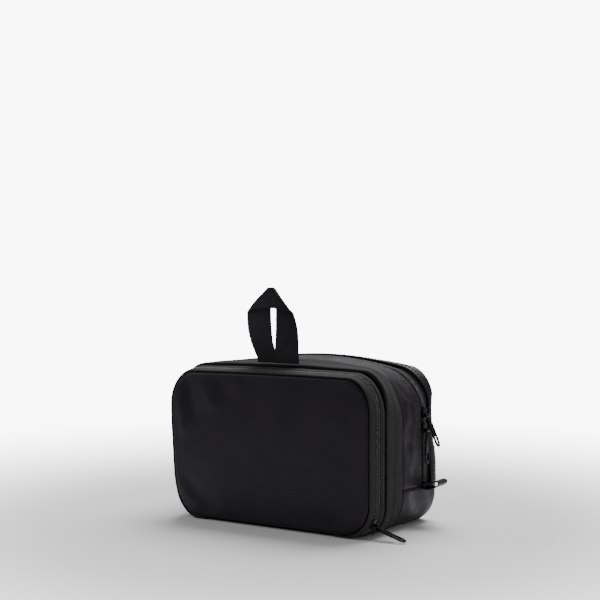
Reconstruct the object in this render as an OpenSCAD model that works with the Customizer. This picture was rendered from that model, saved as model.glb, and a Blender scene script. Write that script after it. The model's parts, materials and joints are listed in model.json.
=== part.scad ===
// Hanging toiletry bag: two zipped compartments, a folded webbing loop on top.
// X runs across the bag, Y from the front panel (minus) to the back (plus), Z up.
// Lengths are in millimetres.  The bag stands on Z = 0.

/* [Overall size] */
// width across the body
bag_width = 244; // [220:1:280]
// height of the body without the loop
bag_height = 161; // [145:1:185]
// depth from front face to back face
bag_depth = 130; // [120:1:150]
// how much the front panel is narrower than the body, in all
front_inset_width = 10; // [7:1:18]
// how much lower the front panel is than the body
front_inset_top = 8.5; // [7:0.5:14]
// how much the back panel is narrower than the body, in all
back_inset_width = 20; // [10:1:26]
// how much lower the back panel is than the body
back_inset_top = 11; // [6:1:16]

/* [Corners] */
// corner radius of the front panel
front_corner = 26; // [22:1:32]
// corner radius of the body
body_corner = 34; // [30:1:40]
// corner radius of the back panel
back_corner = 36; // [30:1:42]

/* [Fabric] */
// outer nylon thickness
shell_wall = 1.2; // [1.0:0.1:1.6]
// woven trim band thickness
band_wall = 1.6; // [1.4:0.1:2.0]
// lining thickness
lining_wall = 0.6; // [0.5:0.1:1]
// foam thickness in the front and back panels
foam_wall = 3.5; // [3:0.5:4]
// width of the woven trim band
band_width = 30; // [26:1:32]
// height of the seam where the main zip ends
seam_height = 40; // [36:1:44]

/* [Zips] */
// distance of the front zip from the front face
front_zip_station = 12; // [11:0.5:13]
// distance of the main zip from the back face
main_zip_from_back = 29; // [28:0.5:31]
// thickness of the zip tape
tape_wall = 0.8; // [0.6:0.1:1]
// thickness of a coil row
coil_thick = 2.2; // [2:0.1:2.4]
// width of one coil row
coil_row = 2.0; // [1.8:0.1:2.2]
// gap left between the two coil rows
coil_gap = 1.6; // [1.6:0.1:2]
// length of a slider body
slider_length = 11; // [10:0.5:12]
// width of a slider body
slider_width = 9; // [8.5:0.5:9.5]
// thickness of a slider plate
slider_plate = 1.1; // [1:0.1:1.2]
// length of a puller from its pin to its tip
puller_length = 33; // [28:1:34]
// width of a puller
puller_width = 8; // [7:0.5:8.5]
// thickness of a puller
puller_thick = 1.8; // [1.6:0.1:2]
// how far the upper main puller leans out over the lower slider
upper_puller_lean = 20; // [20:1:30]
// height of the tip of the front puller above the floor
front_puller_clearance = 2; // [1.5:0.5:4]
// place of the lower main slider, as a share of the straight side above the side seam
lower_slider_place = 0.644; // [0.6:0.002:0.66]
// spacing between the two main sliders
slider_spacing = 15; // [15:0.5:17]
// place of the front slider on its corner, degrees below level
front_slider_angle = 26; // [22:1:34]

/* [Loop] */
// width of the webbing
webbing_width = 25; // [20:0.5:25]
// thickness of the webbing
webbing_thick = 1.8; // [1.5:0.1:2]
// slit left between the two legs
loop_slit = 5; // [4.5:0.5:6]
// height of the loop over its sewn foot
loop_height = 71; // [60:1:80]
// place of the loop across the bag
loop_across = -6; // [-12:1:12]

/* [Hidden] */
$fn = 96;
hull_facets = 40;
touch = 0.01;
air = 0.3;

front_y = -bag_depth / 2;
back_y = bag_depth / 2;
front_width = bag_width - front_inset_width;
front_top = bag_height - front_inset_top;
front_bottom = 0.5;

// a section is [width, bottom, top, corner radius]
body_section = [bag_width, 0, bag_height, body_corner];
front_section = [front_width, front_bottom, front_top, front_corner];
back_section = [bag_width - back_inset_width, 3, bag_height - back_inset_top, back_corner];

// distances behind the front face
panel_depth = shell_wall + foam_wall + lining_wall;
strip_start = front_zip_station + 5;
strip_flat = strip_start + 1.5;
strip_end = strip_start + 7;
seam_lap = 3;
band_start = strip_start + 9;
band_end = band_start + band_width;
main_zip_station = bag_depth - main_zip_from_back;
zip_window = 10;
gusset_end = main_zip_station - zip_window;
rear_start = main_zip_station + zip_window;
rear_flat = rear_start + 6;
back_start = bag_depth - panel_depth;

tape_lap = 4;
coil_inner = coil_gap / 2;
coil_outer = coil_gap / 2 + coil_row;

front_tape_section = inside(front_section, shell_wall);
main_tape_section = inside(body_section, shell_wall);
liner_section = inside(body_section, band_wall);

// front flap
hinge_station = 5;
hinge_height = 3;
flap_zip_bottom = front_bottom + front_corner;
hinge_strip_start = 9;
hinge_strip_half = front_width / 2 - front_corner - 14;

// the front zip turns its corner on this radius, and its coil rises in the slider there
corner_track = front_corner - shell_wall - tape_wall / 2;
channel_slack = pow(slider_length, 2) / corner_track / 8 - 0.37;

// slider parts, measured out from the middle of the coil
channel_out = coil_thick / 2 + channel_slack;
channel_in = coil_thick / 2 + 0.65;
plate_top = channel_out + slider_plate;
crown_height = 5.6;
crown_wall = 1.2;
pin_height = 2.2;
pin_radius = 0.8;
pin_clearance = 0.05;
barrel_radius = 1.45;
barrel_half = 2.3;
pin_offset = -2.6;
bridge_wall = 1.2;
bridge_length = 2.6;

// where the sliders sit
main_coil_x = bag_width / 2 - shell_wall - tape_wall / 2;
main_zip_y = front_y + main_zip_station;
front_zip_y = front_y + front_zip_station;
lower_slider_height = seam_height
                      + lower_slider_place * (bag_height - body_corner - seam_height);
upper_slider_height = lower_slider_height + slider_spacing;
corner_x = front_width / 2 - front_corner;
corner_z = front_bottom + front_corner;

// loop
loop_station = band_start - webbing_thick / 2;
loop_axis = bag_height + 0.5;
loop_lift = 1;
loop_half = webbing_width + loop_slit / 2;
loop_shoulder = loop_height - loop_half;
slit_start = 12;
slit_full = 20;
hood_thick = 2.6;
hood_lap = 3;
hood_flat = 3;

// a section drawn in by the same amount on every side
function inside(section, by) = [section[0] - 2 * by, section[1] + by,
                                section[2] - by, section[3] - by];

// rounded outline of a section, width along X and height along Y
module outline(section) {
  half = section[0] / 2;
  corner = section[3];
  translate([-half + corner, section[1]])
    square([section[0] - 2 * corner, section[2] - section[1]]);
  translate([-half, section[1] + corner])
    square([section[0], section[2] - section[1] - 2 * corner]);
  for (side = [-1, 1])
    for (level = [section[1] + corner, section[2] - corner])
      translate([side * (half - corner), level])
        circle(r = corner);
}

// solid slab between two distances behind the front face
module slab(section, from, to) {
  translate([0, front_y + to, 0])
    rotate([90, 0, 0])
      linear_extrude(to - from)
        outline(section);
}

// rounded frame of even wall between two distances
module frame_ring(section, wall, from, to) {
  translate([0, front_y + to, 0])
    rotate([90, 0, 0])
      linear_extrude(to - from)
        difference() {
          outline(section);
          outline(inside(section, wall));
        }
}

// solid that grows or shrinks from one section to another
module taper(first, second, from, to) {
  hull($fn = hull_facets) {
    slab(first, from, from + touch, $fn = hull_facets);
    slab(second, to - touch, to, $fn = hull_facets);
  }
}

// frame of even wall that runs from one section to another
module taper_ring(first, second, wall, from, to) {
  difference() {
    taper(first, second, from, to);
    taper(inside(first, wall), inside(second, wall), from - touch, to + touch);
  }
}

// keeps what lies above a level
module above(level) {
  reach = bag_width * 2;
  intersection() {
    children();
    translate([-reach / 2, -reach / 2, level])
      cube([reach, reach, reach]);
  }
}

// keeps what lies below a level
module below(level) {
  reach = bag_width * 2;
  intersection() {
    children();
    translate([-reach / 2, -reach / 2, level - reach])
      cube([reach, reach, reach]);
  }
}

// keeps the front zip's run: everything but the middle of the base
module zip_run() {
  difference() {
    children();
    translate([-hinge_strip_half, front_y, -1])
      cube([2 * hinge_strip_half, bag_depth, front_corner]);
  }
}

// coil row: a ring thicker than its tape, on the tape's own middle surface
module coil_ring(section, from, to) {
  spread = (coil_thick - tape_wall) / 2;
  frame_ring(inside(section, -spread), coil_thick, from, to);
}

// ---- front flap ----

module front_panel_skin() {
  color("#1d1a20")
    difference() {
      slab(front_section, 0, panel_depth);
      slab(inside(front_section, shell_wall), shell_wall, panel_depth + 1);
    }
}

module front_panel_foam() {
  color("#3a3a3c")
    slab(inside(front_tape_section, tape_wall), shell_wall, shell_wall + foam_wall);
}

module front_panel_lining() {
  color("#2b2b2e")
    slab(inside(front_tape_section, tape_wall), shell_wall + foam_wall, panel_depth);
}

pocket_inset = 9;
pocket_height = 86;
pocket_fullness = 3;
pocket_elastic = 8;

module flap_mesh_pocket() {
  pocket = inside(front_section, pocket_inset);
  color("#26262a")
    below(pocket_height)
      difference() {
        slab(pocket, panel_depth, panel_depth + pocket_fullness);
        slab(inside(pocket, 0.8), panel_depth - 1, panel_depth + pocket_fullness - 0.8);
      }
}

module flap_pocket_elastic() {
  pocket = inside(front_section, pocket_inset);
  color("#161618")
    below(pocket_height + pocket_elastic)
      above(pocket_height)
        difference() {
          slab(pocket, panel_depth, panel_depth + pocket_fullness);
          slab(inside(pocket, 1.2), panel_depth - 1, panel_depth + pocket_fullness - 1.2);
        }
}

module front_zip_flap_tape() {
  color("#2f302f")
    above(flap_zip_bottom)
      frame_ring(front_tape_section, tape_wall, shell_wall,
                 front_zip_station - coil_outer);
}

module front_zip_flap_coil() {
  color("#4a4b4a")
    above(flap_zip_bottom)
      coil_ring(front_tape_section, front_zip_station - coil_outer,
                front_zip_station - coil_inner);
}

// ---- front compartment ----

module front_zip_body_tape() {
  color("#2f302f")
    zip_run()
      frame_ring(front_tape_section, tape_wall, front_zip_station + coil_outer,
                 strip_flat);
}

module front_zip_body_coil() {
  color("#4a4b4a")
    zip_run()
      coil_ring(front_tape_section, front_zip_station + coil_inner,
                front_zip_station + coil_outer);
}

module front_zip_stops() {
  color("#3b3b3d")
    for (side = [-1, 1])
      translate([side * (hinge_strip_half + 1.5) - 1.5, front_zip_y + coil_inner,
                 front_bottom + shell_wall + tape_wall + (coil_thick - tape_wall) / 2])
        cube([3, coil_row, 1.4]);
}

module flap_hinge_strip() {
  color("#1d1a20")
    translate([-hinge_strip_half, front_y + hinge_strip_start, front_bottom])
      cube([2 * hinge_strip_half, strip_start - hinge_strip_start, shell_wall]);
}

module front_gusset() {
  color("#1d1a20") {
    frame_ring(front_section, shell_wall, strip_start, strip_flat);
    taper_ring(front_section, liner_section, shell_wall, strip_flat, strip_end);
    frame_ring(liner_section, shell_wall, strip_end, band_start + seam_lap);
  }
}

module trim_band() {
  color("#2b2c2b")
    frame_ring(body_section, band_wall, band_start, band_end);
}

// the wall between the two compartments, sewn in behind the trim band
divider_station = band_end - 6;
divider_wall = 1.2;

module divider_panel() {
  color("#26262a")
    slab(liner_section, divider_station, divider_station + divider_wall);
}

module divider_lining() {
  color("#2b2b2e")
    frame_ring(liner_section, lining_wall, band_start + seam_lap, divider_station);
}

divider_pocket_height = 92;
divider_pocket_side = 14;

module divider_pocket() {
  pocket = inside(liner_section, divider_pocket_side);
  color("#1f1f22")
    below(divider_pocket_height)
      difference() {
        slab(pocket, divider_station - 2.5, divider_station);
        slab(inside(pocket, 0.8), divider_station - 1.7, divider_station + 1);
      }
}

module divider_pocket_binding() {
  pocket = inside(liner_section, divider_pocket_side);
  color("#161618")
    below(divider_pocket_height + 7)
      above(divider_pocket_height)
        difference() {
          slab(pocket, divider_station - 2.5, divider_station);
          slab(inside(pocket, 1.2), divider_station - 1.3, divider_station + 1);
        }
}

// ---- main compartment ----

module main_gusset() {
  color("#1d1a20")
    above(seam_height)
      frame_ring(body_section, shell_wall, band_end, gusset_end);
}

module base_gusset() {
  color("#1d1a20")
    below(seam_height) {
      frame_ring(body_section, shell_wall, band_end, rear_flat);
      taper_ring(body_section, back_section, shell_wall, rear_flat, back_start);
    }
}

module main_lining() {
  lining = inside(body_section, shell_wall);
  color("#2b2b2e")
    frame_ring(lining, lining_wall, band_end + 1, gusset_end - tape_lap - 2);
}

board_wall = 1.5;
board_margin = 3;
board_half = bag_width / 2 - body_corner;

module base_board() {
  color("#3a3a3c")
    translate([-board_half, front_y + divider_station + divider_wall + board_margin,
               shell_wall + lining_wall])
      cube([2 * board_half,
            gusset_end - divider_station - divider_wall - 2 * board_margin, board_wall]);
}

module main_zip_front_tape() {
  color("#2f302f")
    above(seam_height)
      frame_ring(main_tape_section, tape_wall, gusset_end - tape_lap,
                 main_zip_station - coil_outer);
}

module main_zip_front_coil() {
  color("#4a4b4a")
    above(seam_height + 3)
      coil_ring(main_tape_section, main_zip_station - coil_outer,
                main_zip_station - coil_inner);
}

module main_zip_rear_tape() {
  color("#2f302f")
    above(seam_height + air)
      frame_ring(main_tape_section, tape_wall, main_zip_station + coil_outer,
                 rear_start + tape_lap);
}

module main_zip_rear_coil() {
  color("#4a4b4a")
    above(seam_height + 3)
      coil_ring(main_tape_section, main_zip_station + coil_inner,
                main_zip_station + coil_outer);
}

module main_zip_stops() {
  color("#3b3b3d")
    for (side = [-1, 1])
      translate([side * main_coil_x - coil_thick / 2, main_zip_y - coil_outer,
                 seam_height])
        cube([coil_thick, coil_row, 3]);
}

module rear_gusset() {
  color("#1d1a20")
    above(seam_height + air) {
      frame_ring(body_section, shell_wall, rear_start, rear_flat);
      taper_ring(body_section, back_section, shell_wall, rear_flat, back_start);
    }
}

// back panel: skin, foam and lining, folding at the seam height
module back_skin() {
  slab(back_section, bag_depth - shell_wall, bag_depth);
  frame_ring(back_section, shell_wall, back_start, bag_depth - shell_wall);
}

module back_foam() {
  slab(inside(back_section, shell_wall), back_start + lining_wall,
       bag_depth - shell_wall);
}

module back_lining() {
  slab(inside(back_section, shell_wall), back_start, back_start + lining_wall);
}

module back_panel_upper() {
  color("#1d1a20") above(seam_height + air) back_skin();
}

module back_foam_upper() {
  color("#3a3a3c") above(seam_height + air) back_foam();
}

module back_lining_upper() {
  color("#2b2b2e") above(seam_height + air) back_lining();
}

module back_panel_lower() {
  color("#1d1a20") below(seam_height) back_skin();
}

module back_foam_lower() {
  color("#3a3a3c") below(seam_height) back_foam();
}

module back_lining_lower() {
  color("#2b2b2e") below(seam_height) back_lining();
}

// folded fabric tab sewn into the side seam at the end of the main zip
tab_reach = 16;
tab_width = 22;
tab_thick = 2.4;
tab_corner = 5;

module end_tab(side) {
  translate([0, main_zip_y, seam_height - tab_thick])
    linear_extrude(tab_thick)
      difference() {
        union() {
          translate([side > 0 ? bag_width / 2 : -bag_width / 2 - tab_reach + tab_corner,
                     -tab_width / 2])
            square([tab_reach - tab_corner, tab_width]);
          translate([side > 0 ? bag_width / 2 : -bag_width / 2 - tab_reach,
                     -tab_width / 2 + tab_corner])
            square([tab_reach, tab_width - 2 * tab_corner]);
          for (edge = [-1, 1])
            translate([side * (bag_width / 2 + tab_reach - tab_corner),
                       edge * (tab_width / 2 - tab_corner)])
              circle(r = tab_corner);
        }
        translate([side > 0 ? 0 : -bag_width / 2, -tab_width])
          square([bag_width / 2, 2 * tab_width]);
      }
}

module end_tab_right() {
  color("#1d1a20") end_tab(1);
}

module end_tab_left() {
  color("#1d1a20") end_tab(-1);
}

// ---- sliders ----

// slider lying on the coil: X along the zip, Z away from the bag
module slider_body() {
  half = slider_width / 2;
  translate([-slider_length / 2, -half, channel_out])
    cube([slider_length, slider_width, slider_plate]);
  translate([-slider_length / 2, -half, -channel_in - slider_plate])
    cube([slider_length, slider_width, slider_plate]);
  translate([slider_length / 2 - bridge_length, -bridge_wall / 2, -channel_in - touch])
    cube([bridge_length, bridge_wall, channel_in + channel_out + 2 * touch]);
  for (side = [-1, 1])
    translate([pin_offset, side * (barrel_half + 0.15 + crown_wall / 2), 0]) {
      translate([-1.6, -crown_wall / 2, plate_top - touch])
        cube([3.2, crown_wall, crown_height - 1.6]);
      translate([0, crown_wall / 2, plate_top + crown_height - 1.6])
        rotate([90, 0, 0])
          cylinder(r = 1.6, h = crown_wall);
    }
  translate([pin_offset, 0, plate_top + pin_height])
    rotate([90, 0, 0])
      cylinder(r = pin_radius, h = 2 * barrel_half + 0.3 + crown_wall, center = true);
}

// puller with its pin hole at the origin, reaching along X
module puller_body() {
  tip = 3.5;
  slot_start = puller_length - 12;
  slot_length = 7.5;
  slot_width = puller_width - 4.4;
  rail = 0.9;
  difference() {
    union() {
      rotate([90, 0, 0])
        cylinder(r = barrel_radius, h = 2 * barrel_half, center = true);
      translate([0, -barrel_half, -puller_thick / 2])
        cube([5, 2 * barrel_half, puller_thick]);
      translate([0, 0, -puller_thick / 2])
        linear_extrude(puller_thick)
          difference() {
            polygon([[4, -barrel_half], [6.5, -puller_width / 2],
                     [puller_length - tip, -puller_width / 2], [puller_length, -1],
                     [puller_length, 1], [puller_length - tip, puller_width / 2],
                     [6.5, puller_width / 2], [4, barrel_half]]);
            translate([slot_start, -slot_width / 2])
              square([slot_length, slot_width]);
          }
      for (side = [-1, 1])
        translate([7, side * (puller_width / 2 - rail / 2) - rail / 2,
                   -puller_thick / 2 - 0.25])
          cube([puller_length - tip - 8, rail, puller_thick + 0.5]);
    }
    rotate([90, 0, 0])
      cylinder(r = pin_radius + pin_clearance, h = 3 * barrel_half, center = true);
  }
}

// puts a slider on the straight run of the main zip, its nose up or down
module on_main_zip(height) {
  translate([main_coil_x, main_zip_y, height])
    rotate([0, -90, 180])
      children();
}

// puts a slider on the front zip's lower right corner
module on_front_zip() {
  translate([corner_x, front_zip_y, corner_z])
    rotate([0, front_slider_angle, 0])
      translate([corner_track, 0, 0])
        rotate([0, -90, 180])
          children();
}

// height of the front slider's pin, and how far its puller droops below level
front_pin_level = corner_z - (corner_track + plate_top + pin_height) * sin(front_slider_angle)
                  + pin_offset * cos(front_slider_angle);
front_puller_droop = asin((front_pin_level - front_puller_clearance) / puller_length);

// puts a puller on a slider's pin, swung out from hanging along the slider
module on_pin(swing) {
  translate([pin_offset, 0, plate_top + pin_height])
    rotate([0, 180 + swing, 0])
      children();
}

module slider_upper() {
  color("#3b3b3d") on_main_zip(upper_slider_height) slider_body();
}

module puller_upper() {
  color("#3b3b3d")
    on_main_zip(upper_slider_height) on_pin(upper_puller_lean) puller_body();
}

module slider_lower() {
  color("#3b3b3d") on_main_zip(lower_slider_height) slider_body();
}

module puller_lower() {
  color("#3b3b3d") on_main_zip(lower_slider_height) on_pin(0) puller_body();
}

module slider_front() {
  color("#3b3b3d") on_front_zip() slider_body();
}

module puller_front() {
  color("#3b3b3d")
    on_front_zip() on_pin(90 + front_slider_angle - front_puller_droop) puller_body();
}

// ---- hanging loop ----

// draws a flat outline upright at the loop, its foot at the fold line
module upright_loop(thick) {
  translate([loop_across, front_y + loop_station, loop_axis + loop_lift])
    rotate([90, 0, 0])
      translate([0, 0, -webbing_thick / 2])
        linear_extrude(thick)
          children();
}

// two legs side by side, joined at the foot and cut at 45 degrees at the top
module hang_loop_legs() {
  edge = loop_slit / 2;
  top = loop_shoulder + webbing_width;
  color("#1b1b1c")
    upright_loop(webbing_thick)
      polygon([[-loop_half, 0], [loop_half, 0], [loop_half, loop_shoulder], [edge, top],
               [edge, slit_full], [0, slit_start], [-edge, slit_full], [-edge, top],
               [-loop_half, loop_shoulder]]);
}

// webbing folded over in front of the legs, pointed at the top
module hang_loop_hood() {
  low = loop_shoulder - hood_lap;
  color("#1b1b1c")
    translate([0, -webbing_thick, 0])
      upright_loop(hood_thick)
        polygon([[-loop_half, low], [loop_half, low], [loop_half, loop_shoulder],
                 [hood_flat, loop_height], [-hood_flat, loop_height],
                 [-loop_half, loop_shoulder]]);
}

// sewn end of the webbing in the seam between front gusset and trim band
module hang_loop_anchor() {
  foot = bag_height - band_wall;
  color("#1b1b1c")
    translate([loop_across - loop_half, front_y + loop_station - webbing_thick / 2, foot])
      cube([2 * loop_half, webbing_thick, loop_axis - 0.1 - foot]);
}

front_panel_skin();
front_panel_foam();
front_panel_lining();
flap_mesh_pocket();
flap_pocket_elastic();
front_zip_flap_tape();
front_zip_flap_coil();
front_zip_body_tape();
front_zip_body_coil();
front_zip_stops();
flap_hinge_strip();
front_gusset();
trim_band();
divider_panel();
divider_lining();
divider_pocket();
divider_pocket_binding();
main_gusset();
base_gusset();
main_lining();
base_board();
main_zip_front_tape();
main_zip_front_coil();
main_zip_rear_tape();
main_zip_rear_coil();
main_zip_stops();
rear_gusset();
back_panel_upper();
back_foam_upper();
back_lining_upper();
back_panel_lower();
back_foam_lower();
back_lining_lower();
end_tab_right();
end_tab_left();
slider_upper();
puller_upper();
slider_lower();
puller_lower();
slider_front();
puller_front();
hang_loop_legs();
hang_loop_hood();
hang_loop_anchor();
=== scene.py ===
"""Hanging toiletry bag: the sewn, zipped and padded bag as it looks, on the frame of its moving parts."""

import json
import math
from collections import namedtuple

import bmesh
import bpy
from mathutils import Matrix, Vector, noise


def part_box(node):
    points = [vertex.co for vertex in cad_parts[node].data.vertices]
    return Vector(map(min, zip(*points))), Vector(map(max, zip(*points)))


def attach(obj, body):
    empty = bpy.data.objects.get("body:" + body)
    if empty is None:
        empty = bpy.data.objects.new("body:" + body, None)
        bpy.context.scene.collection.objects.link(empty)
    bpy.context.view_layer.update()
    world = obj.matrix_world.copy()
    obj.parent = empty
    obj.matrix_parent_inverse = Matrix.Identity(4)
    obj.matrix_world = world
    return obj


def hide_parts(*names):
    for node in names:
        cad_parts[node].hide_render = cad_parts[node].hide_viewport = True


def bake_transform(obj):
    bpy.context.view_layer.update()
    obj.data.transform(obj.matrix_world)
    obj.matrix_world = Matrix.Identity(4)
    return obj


bl_info = {
    "name": "Hanging Toiletry Bag",
    "version": (1, 0, 0),
    "blender": (4, 5, 0),
    "location": "View3D > Sidebar > Toiletry Bag",
    "description": "Builds a hanging toiletry bag with two zipped compartments and a webbing loop",
    "category": "Add Mesh",
}

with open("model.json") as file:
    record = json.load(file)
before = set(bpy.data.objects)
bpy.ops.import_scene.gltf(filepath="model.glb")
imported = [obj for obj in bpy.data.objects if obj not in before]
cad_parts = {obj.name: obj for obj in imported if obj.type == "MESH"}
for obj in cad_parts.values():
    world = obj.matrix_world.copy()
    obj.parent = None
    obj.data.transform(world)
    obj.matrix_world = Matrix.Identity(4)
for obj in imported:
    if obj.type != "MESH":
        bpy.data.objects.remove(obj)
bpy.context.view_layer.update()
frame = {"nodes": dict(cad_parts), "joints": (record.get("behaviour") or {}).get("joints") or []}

MM = 0.001
FRONT_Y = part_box("front_panel_skin")[0].y / MM
BAG_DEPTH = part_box("back_panel_upper")[1].y / MM - FRONT_Y
SEAM_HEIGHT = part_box("base_gusset")[1].z / MM
JOINTS = {joint["name"]: joint for joint in frame["joints"]}

# ---- the bag's outer surface ----
# A section is the bag's outline at a station, the distance behind the front face, in mm.
# half: half width; base and top: lowest and highest level of the straight edges;
# crown: how much the top rises to its middle; top_across and top_down: size of the upper
# corners; low_across and low_down: size of the lower corners; belly: bulge low on the
# sides; left: how much of the left side's own bulge there is.
Section = namedtuple(
    "Section",
    "station half base top crown top_across top_down low_across low_down belly left",
)
SECTIONS = [
    Section(-4, 114.5, 0.6, 149.2, 1.2, 25, 32, 30, 33, 0, 0.7),
    Section(3, 116.4, 0.4, 151.0, 1.4, 25, 33, 30, 33, 0, 1),
    Section(12, 119.4, 0.2, 152.9, 1.6, 28, 36, 29, 32, 0, 1),
    Section(21, 121.0, 0.1, 153.8, 2.8, 30, 38, 27, 30, 0, 1),
    Section(26, 120.7, 0.1, 155.2, 4.0, 26, 32, 26, 30, 0, 0.9),
    Section(40, 121.1, 0.1, 153.9, 8.6, 31, 42, 25, 34, 0, 0.7),
    Section(56, 121.3, 0.1, 151.5, 12.2, 34, 48, 24, 38, 0, 0.5),
    Section(74, 122.1, 0.1, 148.1, 16.2, 38, 40, 24, 38, 0.4, 0.4),
    Section(91, 122.6, 0.1, 145.6, 19.3, 40, 33, 23, 35, 0.9, 0.3),
    Section(104, 122.5, 0.1, 146.8, 18.9, 39, 33, 22, 33, 1.6, 0.3),
    Section(111, 122.0, 0.1, 148.4, 17.2, 34, 30, 21, 31, 2.4, 0.3),
    Section(117, 120.8, 0.2, 150.8, 13.6, 28, 30, 20, 30, 4.2, 0.3),
    Section(122, 119.6, 0.6, 152.0, 11.4, 24, 28, 20, 29, 5.0, 0.3),
    Section(127, 117.4, 1.4, 150.0, 9.8, 26, 30, 21, 29, 4.6, 0.3),
    Section(134, 115.0, 2.6, 149.0, 8.0, 24, 28, 24, 32, 4.0, 0.3),
]
# shares of the way from the middle of the base to the middle of the top
LOW_START, LOW_END, TOP_START, TOP_END = 0.27, 0.41, 0.61, 0.77
BELLY_LEVEL, BELLY_REACH = 48, 38
MIDDLE_LEVEL = 78
ABOVE_ALL = 400
_known_sections = {}


def section_at(station):
    """The outline between the given sections, on a smooth curve through them."""
    key = round(station, 3)
    if key in _known_sections:
        return _known_sections[key]
    last = len(SECTIONS) - 2
    i = max(0, min(last, sum(s.station <= station for s in SECTIONS) - 1))
    one, two = SECTIONS[i], SECTIONS[i + 1]
    before, after = SECTIONS[max(0, i - 1)], SECTIONS[min(last + 1, i + 2)]
    gap = two.station - one.station
    w = max(0.0, min(1.0, (station - one.station) / gap))
    values = [station]
    for k in range(1, len(one)):
        rise = (two[k] - one[k]) / gap
        slopes = []
        for a, b, c in ((before, one, two), (one, two, after)):
            left = (b[k] - a[k]) / (b[0] - a[0]) if b[0] > a[0] else rise
            right = (c[k] - b[k]) / (c[0] - b[0]) if c[0] > b[0] else rise
            slopes.append(0.0 if left * right <= 0 else 2 * left * right / (left + right))
        h = w * w * (3 - 2 * w)
        start = (w**3 - 2 * w * w + w) * gap * slopes[0]
        end = (w**3 - w * w) * gap * slopes[1]
        values.append(one[k] * (1 - h) + two[k] * h + start + end)
    _known_sections[key] = Section(*values)
    return _known_sections[key]


def outline_point(section, turn):
    """(x, z) of the outline. turn runs from 0 at the middle of the base, up the right
    side, over the top at 0.5 and down the left side to 1."""
    left = turn > 0.5
    share = 2 * (1 - turn if left else turn)
    half, base, top = section.half, section.base, section.top
    if share < LOW_START:
        x, z = (half - section.low_across) * share / LOW_START, base
    elif share < LOW_END:
        w = (share - LOW_START) / (LOW_END - LOW_START) * math.pi / 2
        x = half - section.low_across * (1 - math.sin(w))
        z = base + section.low_down * (1 - math.cos(w))
    elif share < TOP_START:
        w = (share - LOW_END) / (TOP_START - LOW_END)
        x = half
        z = (base + section.low_down) * (1 - w) + (top - section.top_down) * w
    elif share < TOP_END:
        w = (share - TOP_START) / (TOP_END - TOP_START) * math.pi / 2
        x = half - section.top_across * (1 - math.cos(w))
        z = top - section.top_down * (1 - math.sin(w))
    else:
        x = (half - section.top_across) * (1 - share) / (1 - TOP_END)
        z = top
    middle = (base + top) / 2
    rise = ease((z - middle) / (top - middle))
    z += section.crown * (1 - (x / half) ** 2) * rise
    x += section.belly * hump(z, BELLY_LEVEL, BELLY_REACH) * (x / half)
    if left:
        swell = 4.0 * hump(z, 112, 44) - 5.0 * hump(z, 14, 22)
        x = -x - section.left * swell * (x / half) ** 2
    return x, z


def ease(w):
    """0 to 1 on a smooth curve."""
    w = max(0.0, min(1.0, w))
    return w * w * (3 - 2 * w)


def hump(value, middle, reach):
    """1 at the middle, falling away smoothly on both sides."""
    return math.exp(-(((value - middle) / reach) ** 2))


def skin_point(turn, station, lift=0.0):
    """A point on the bag's outer surface, raised by lift, in mm."""
    section = section_at(station)
    x, z = outline_point(section, turn % 1.0)
    if lift:
        out = skin_out(turn, station)
        x, z = x + out.x * lift, z + out.z * lift
    return Vector((x, FRONT_Y + station, z))


def skin_out(turn, station):
    """The direction away from the bag at a point of its surface, across the station."""
    section = section_at(station)
    step = 0.0015
    x0, z0 = outline_point(section, (turn - step) % 1.0)
    x1, z1 = outline_point(section, (turn + step) % 1.0)
    return Vector((z1 - z0, 0, x0 - x1)).normalized()


def turn_at_level(station, level, side):
    """The turn at which one side of the bag reaches a level."""
    section = section_at(station)
    low, high = 0.05, 0.42
    for _ in range(26):
        middle = (low + high) / 2
        if outline_point(section, middle)[1] < level:
            low = middle
        else:
            high = middle
    return low if side > 0 else 1 - low


def turn_on_base(station, across):
    """The turn at which the base is this far from its middle."""
    section = section_at(station)
    share = across / (section.half - section.low_across) * LOW_START
    return share / 2


def half_at_level(section, level, inset):
    """Half width of an outline at a level, drawn in by an inset."""
    low, high = 0.0, 0.5
    for _ in range(22):
        middle = (low + high) / 2
        if outline_point(section, middle)[1] < level:
            low = middle
        else:
            high = middle
    return max(4.0, outline_point(section, low)[0] - inset)


def ruck(point, size, depth):
    """Soft unevenness of cloth about size mm across."""
    at = Vector(point) / size
    return depth * (noise.noise(at) + 0.45 * noise.noise(at * 2.3 + Vector((7, 3, 1))))


def creases(point, folds):
    """The height that a set of folds adds at a point. A fold runs from one place to
    another, has a width and a height, and dies out past its ends."""
    total = 0.0
    for start, end, width, height in folds:
        a, b, p = Vector(start), Vector(end), Vector(point)
        along = b - a
        w = (p - a).dot(along) / along.length_squared
        near = a + along * max(0.0, min(1.0, w))
        total += height * math.exp(-(((p - near).length / width) ** 2))
    return total


# ---- making pieces ----


def finish_piece(name, bm, material, slot, body=None, replaces=(), smooth=True):
    """Turns a bmesh in mm into a piece of the bag in metres. A piece that shows a frame
    node takes its name, as sewn."""
    if name in frame["nodes"]:
        name += "_sewn"
    mesh = bpy.data.meshes.new(name)
    bmesh.ops.scale(bm, vec=(MM, MM, MM), verts=bm.verts)
    bm.to_mesh(mesh)
    bm.free()
    for face in mesh.polygons:
        face.use_smooth = smooth
    piece = bpy.data.objects.new(name, mesh)
    bpy.context.scene.collection.objects.link(piece)
    mesh.materials.append(material)
    if replaces:
        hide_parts(*replaces)
    if body:
        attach(piece, body)
    return piece


def thicken(piece, wall, offset=-1.0):
    """Gives a cloth its thickness, inwards."""
    solid = piece.modifiers.new("thickness", "SOLIDIFY")
    solid.thickness = wall * MM
    solid.offset = offset
    solid.use_even_offset = True
    return piece


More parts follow.
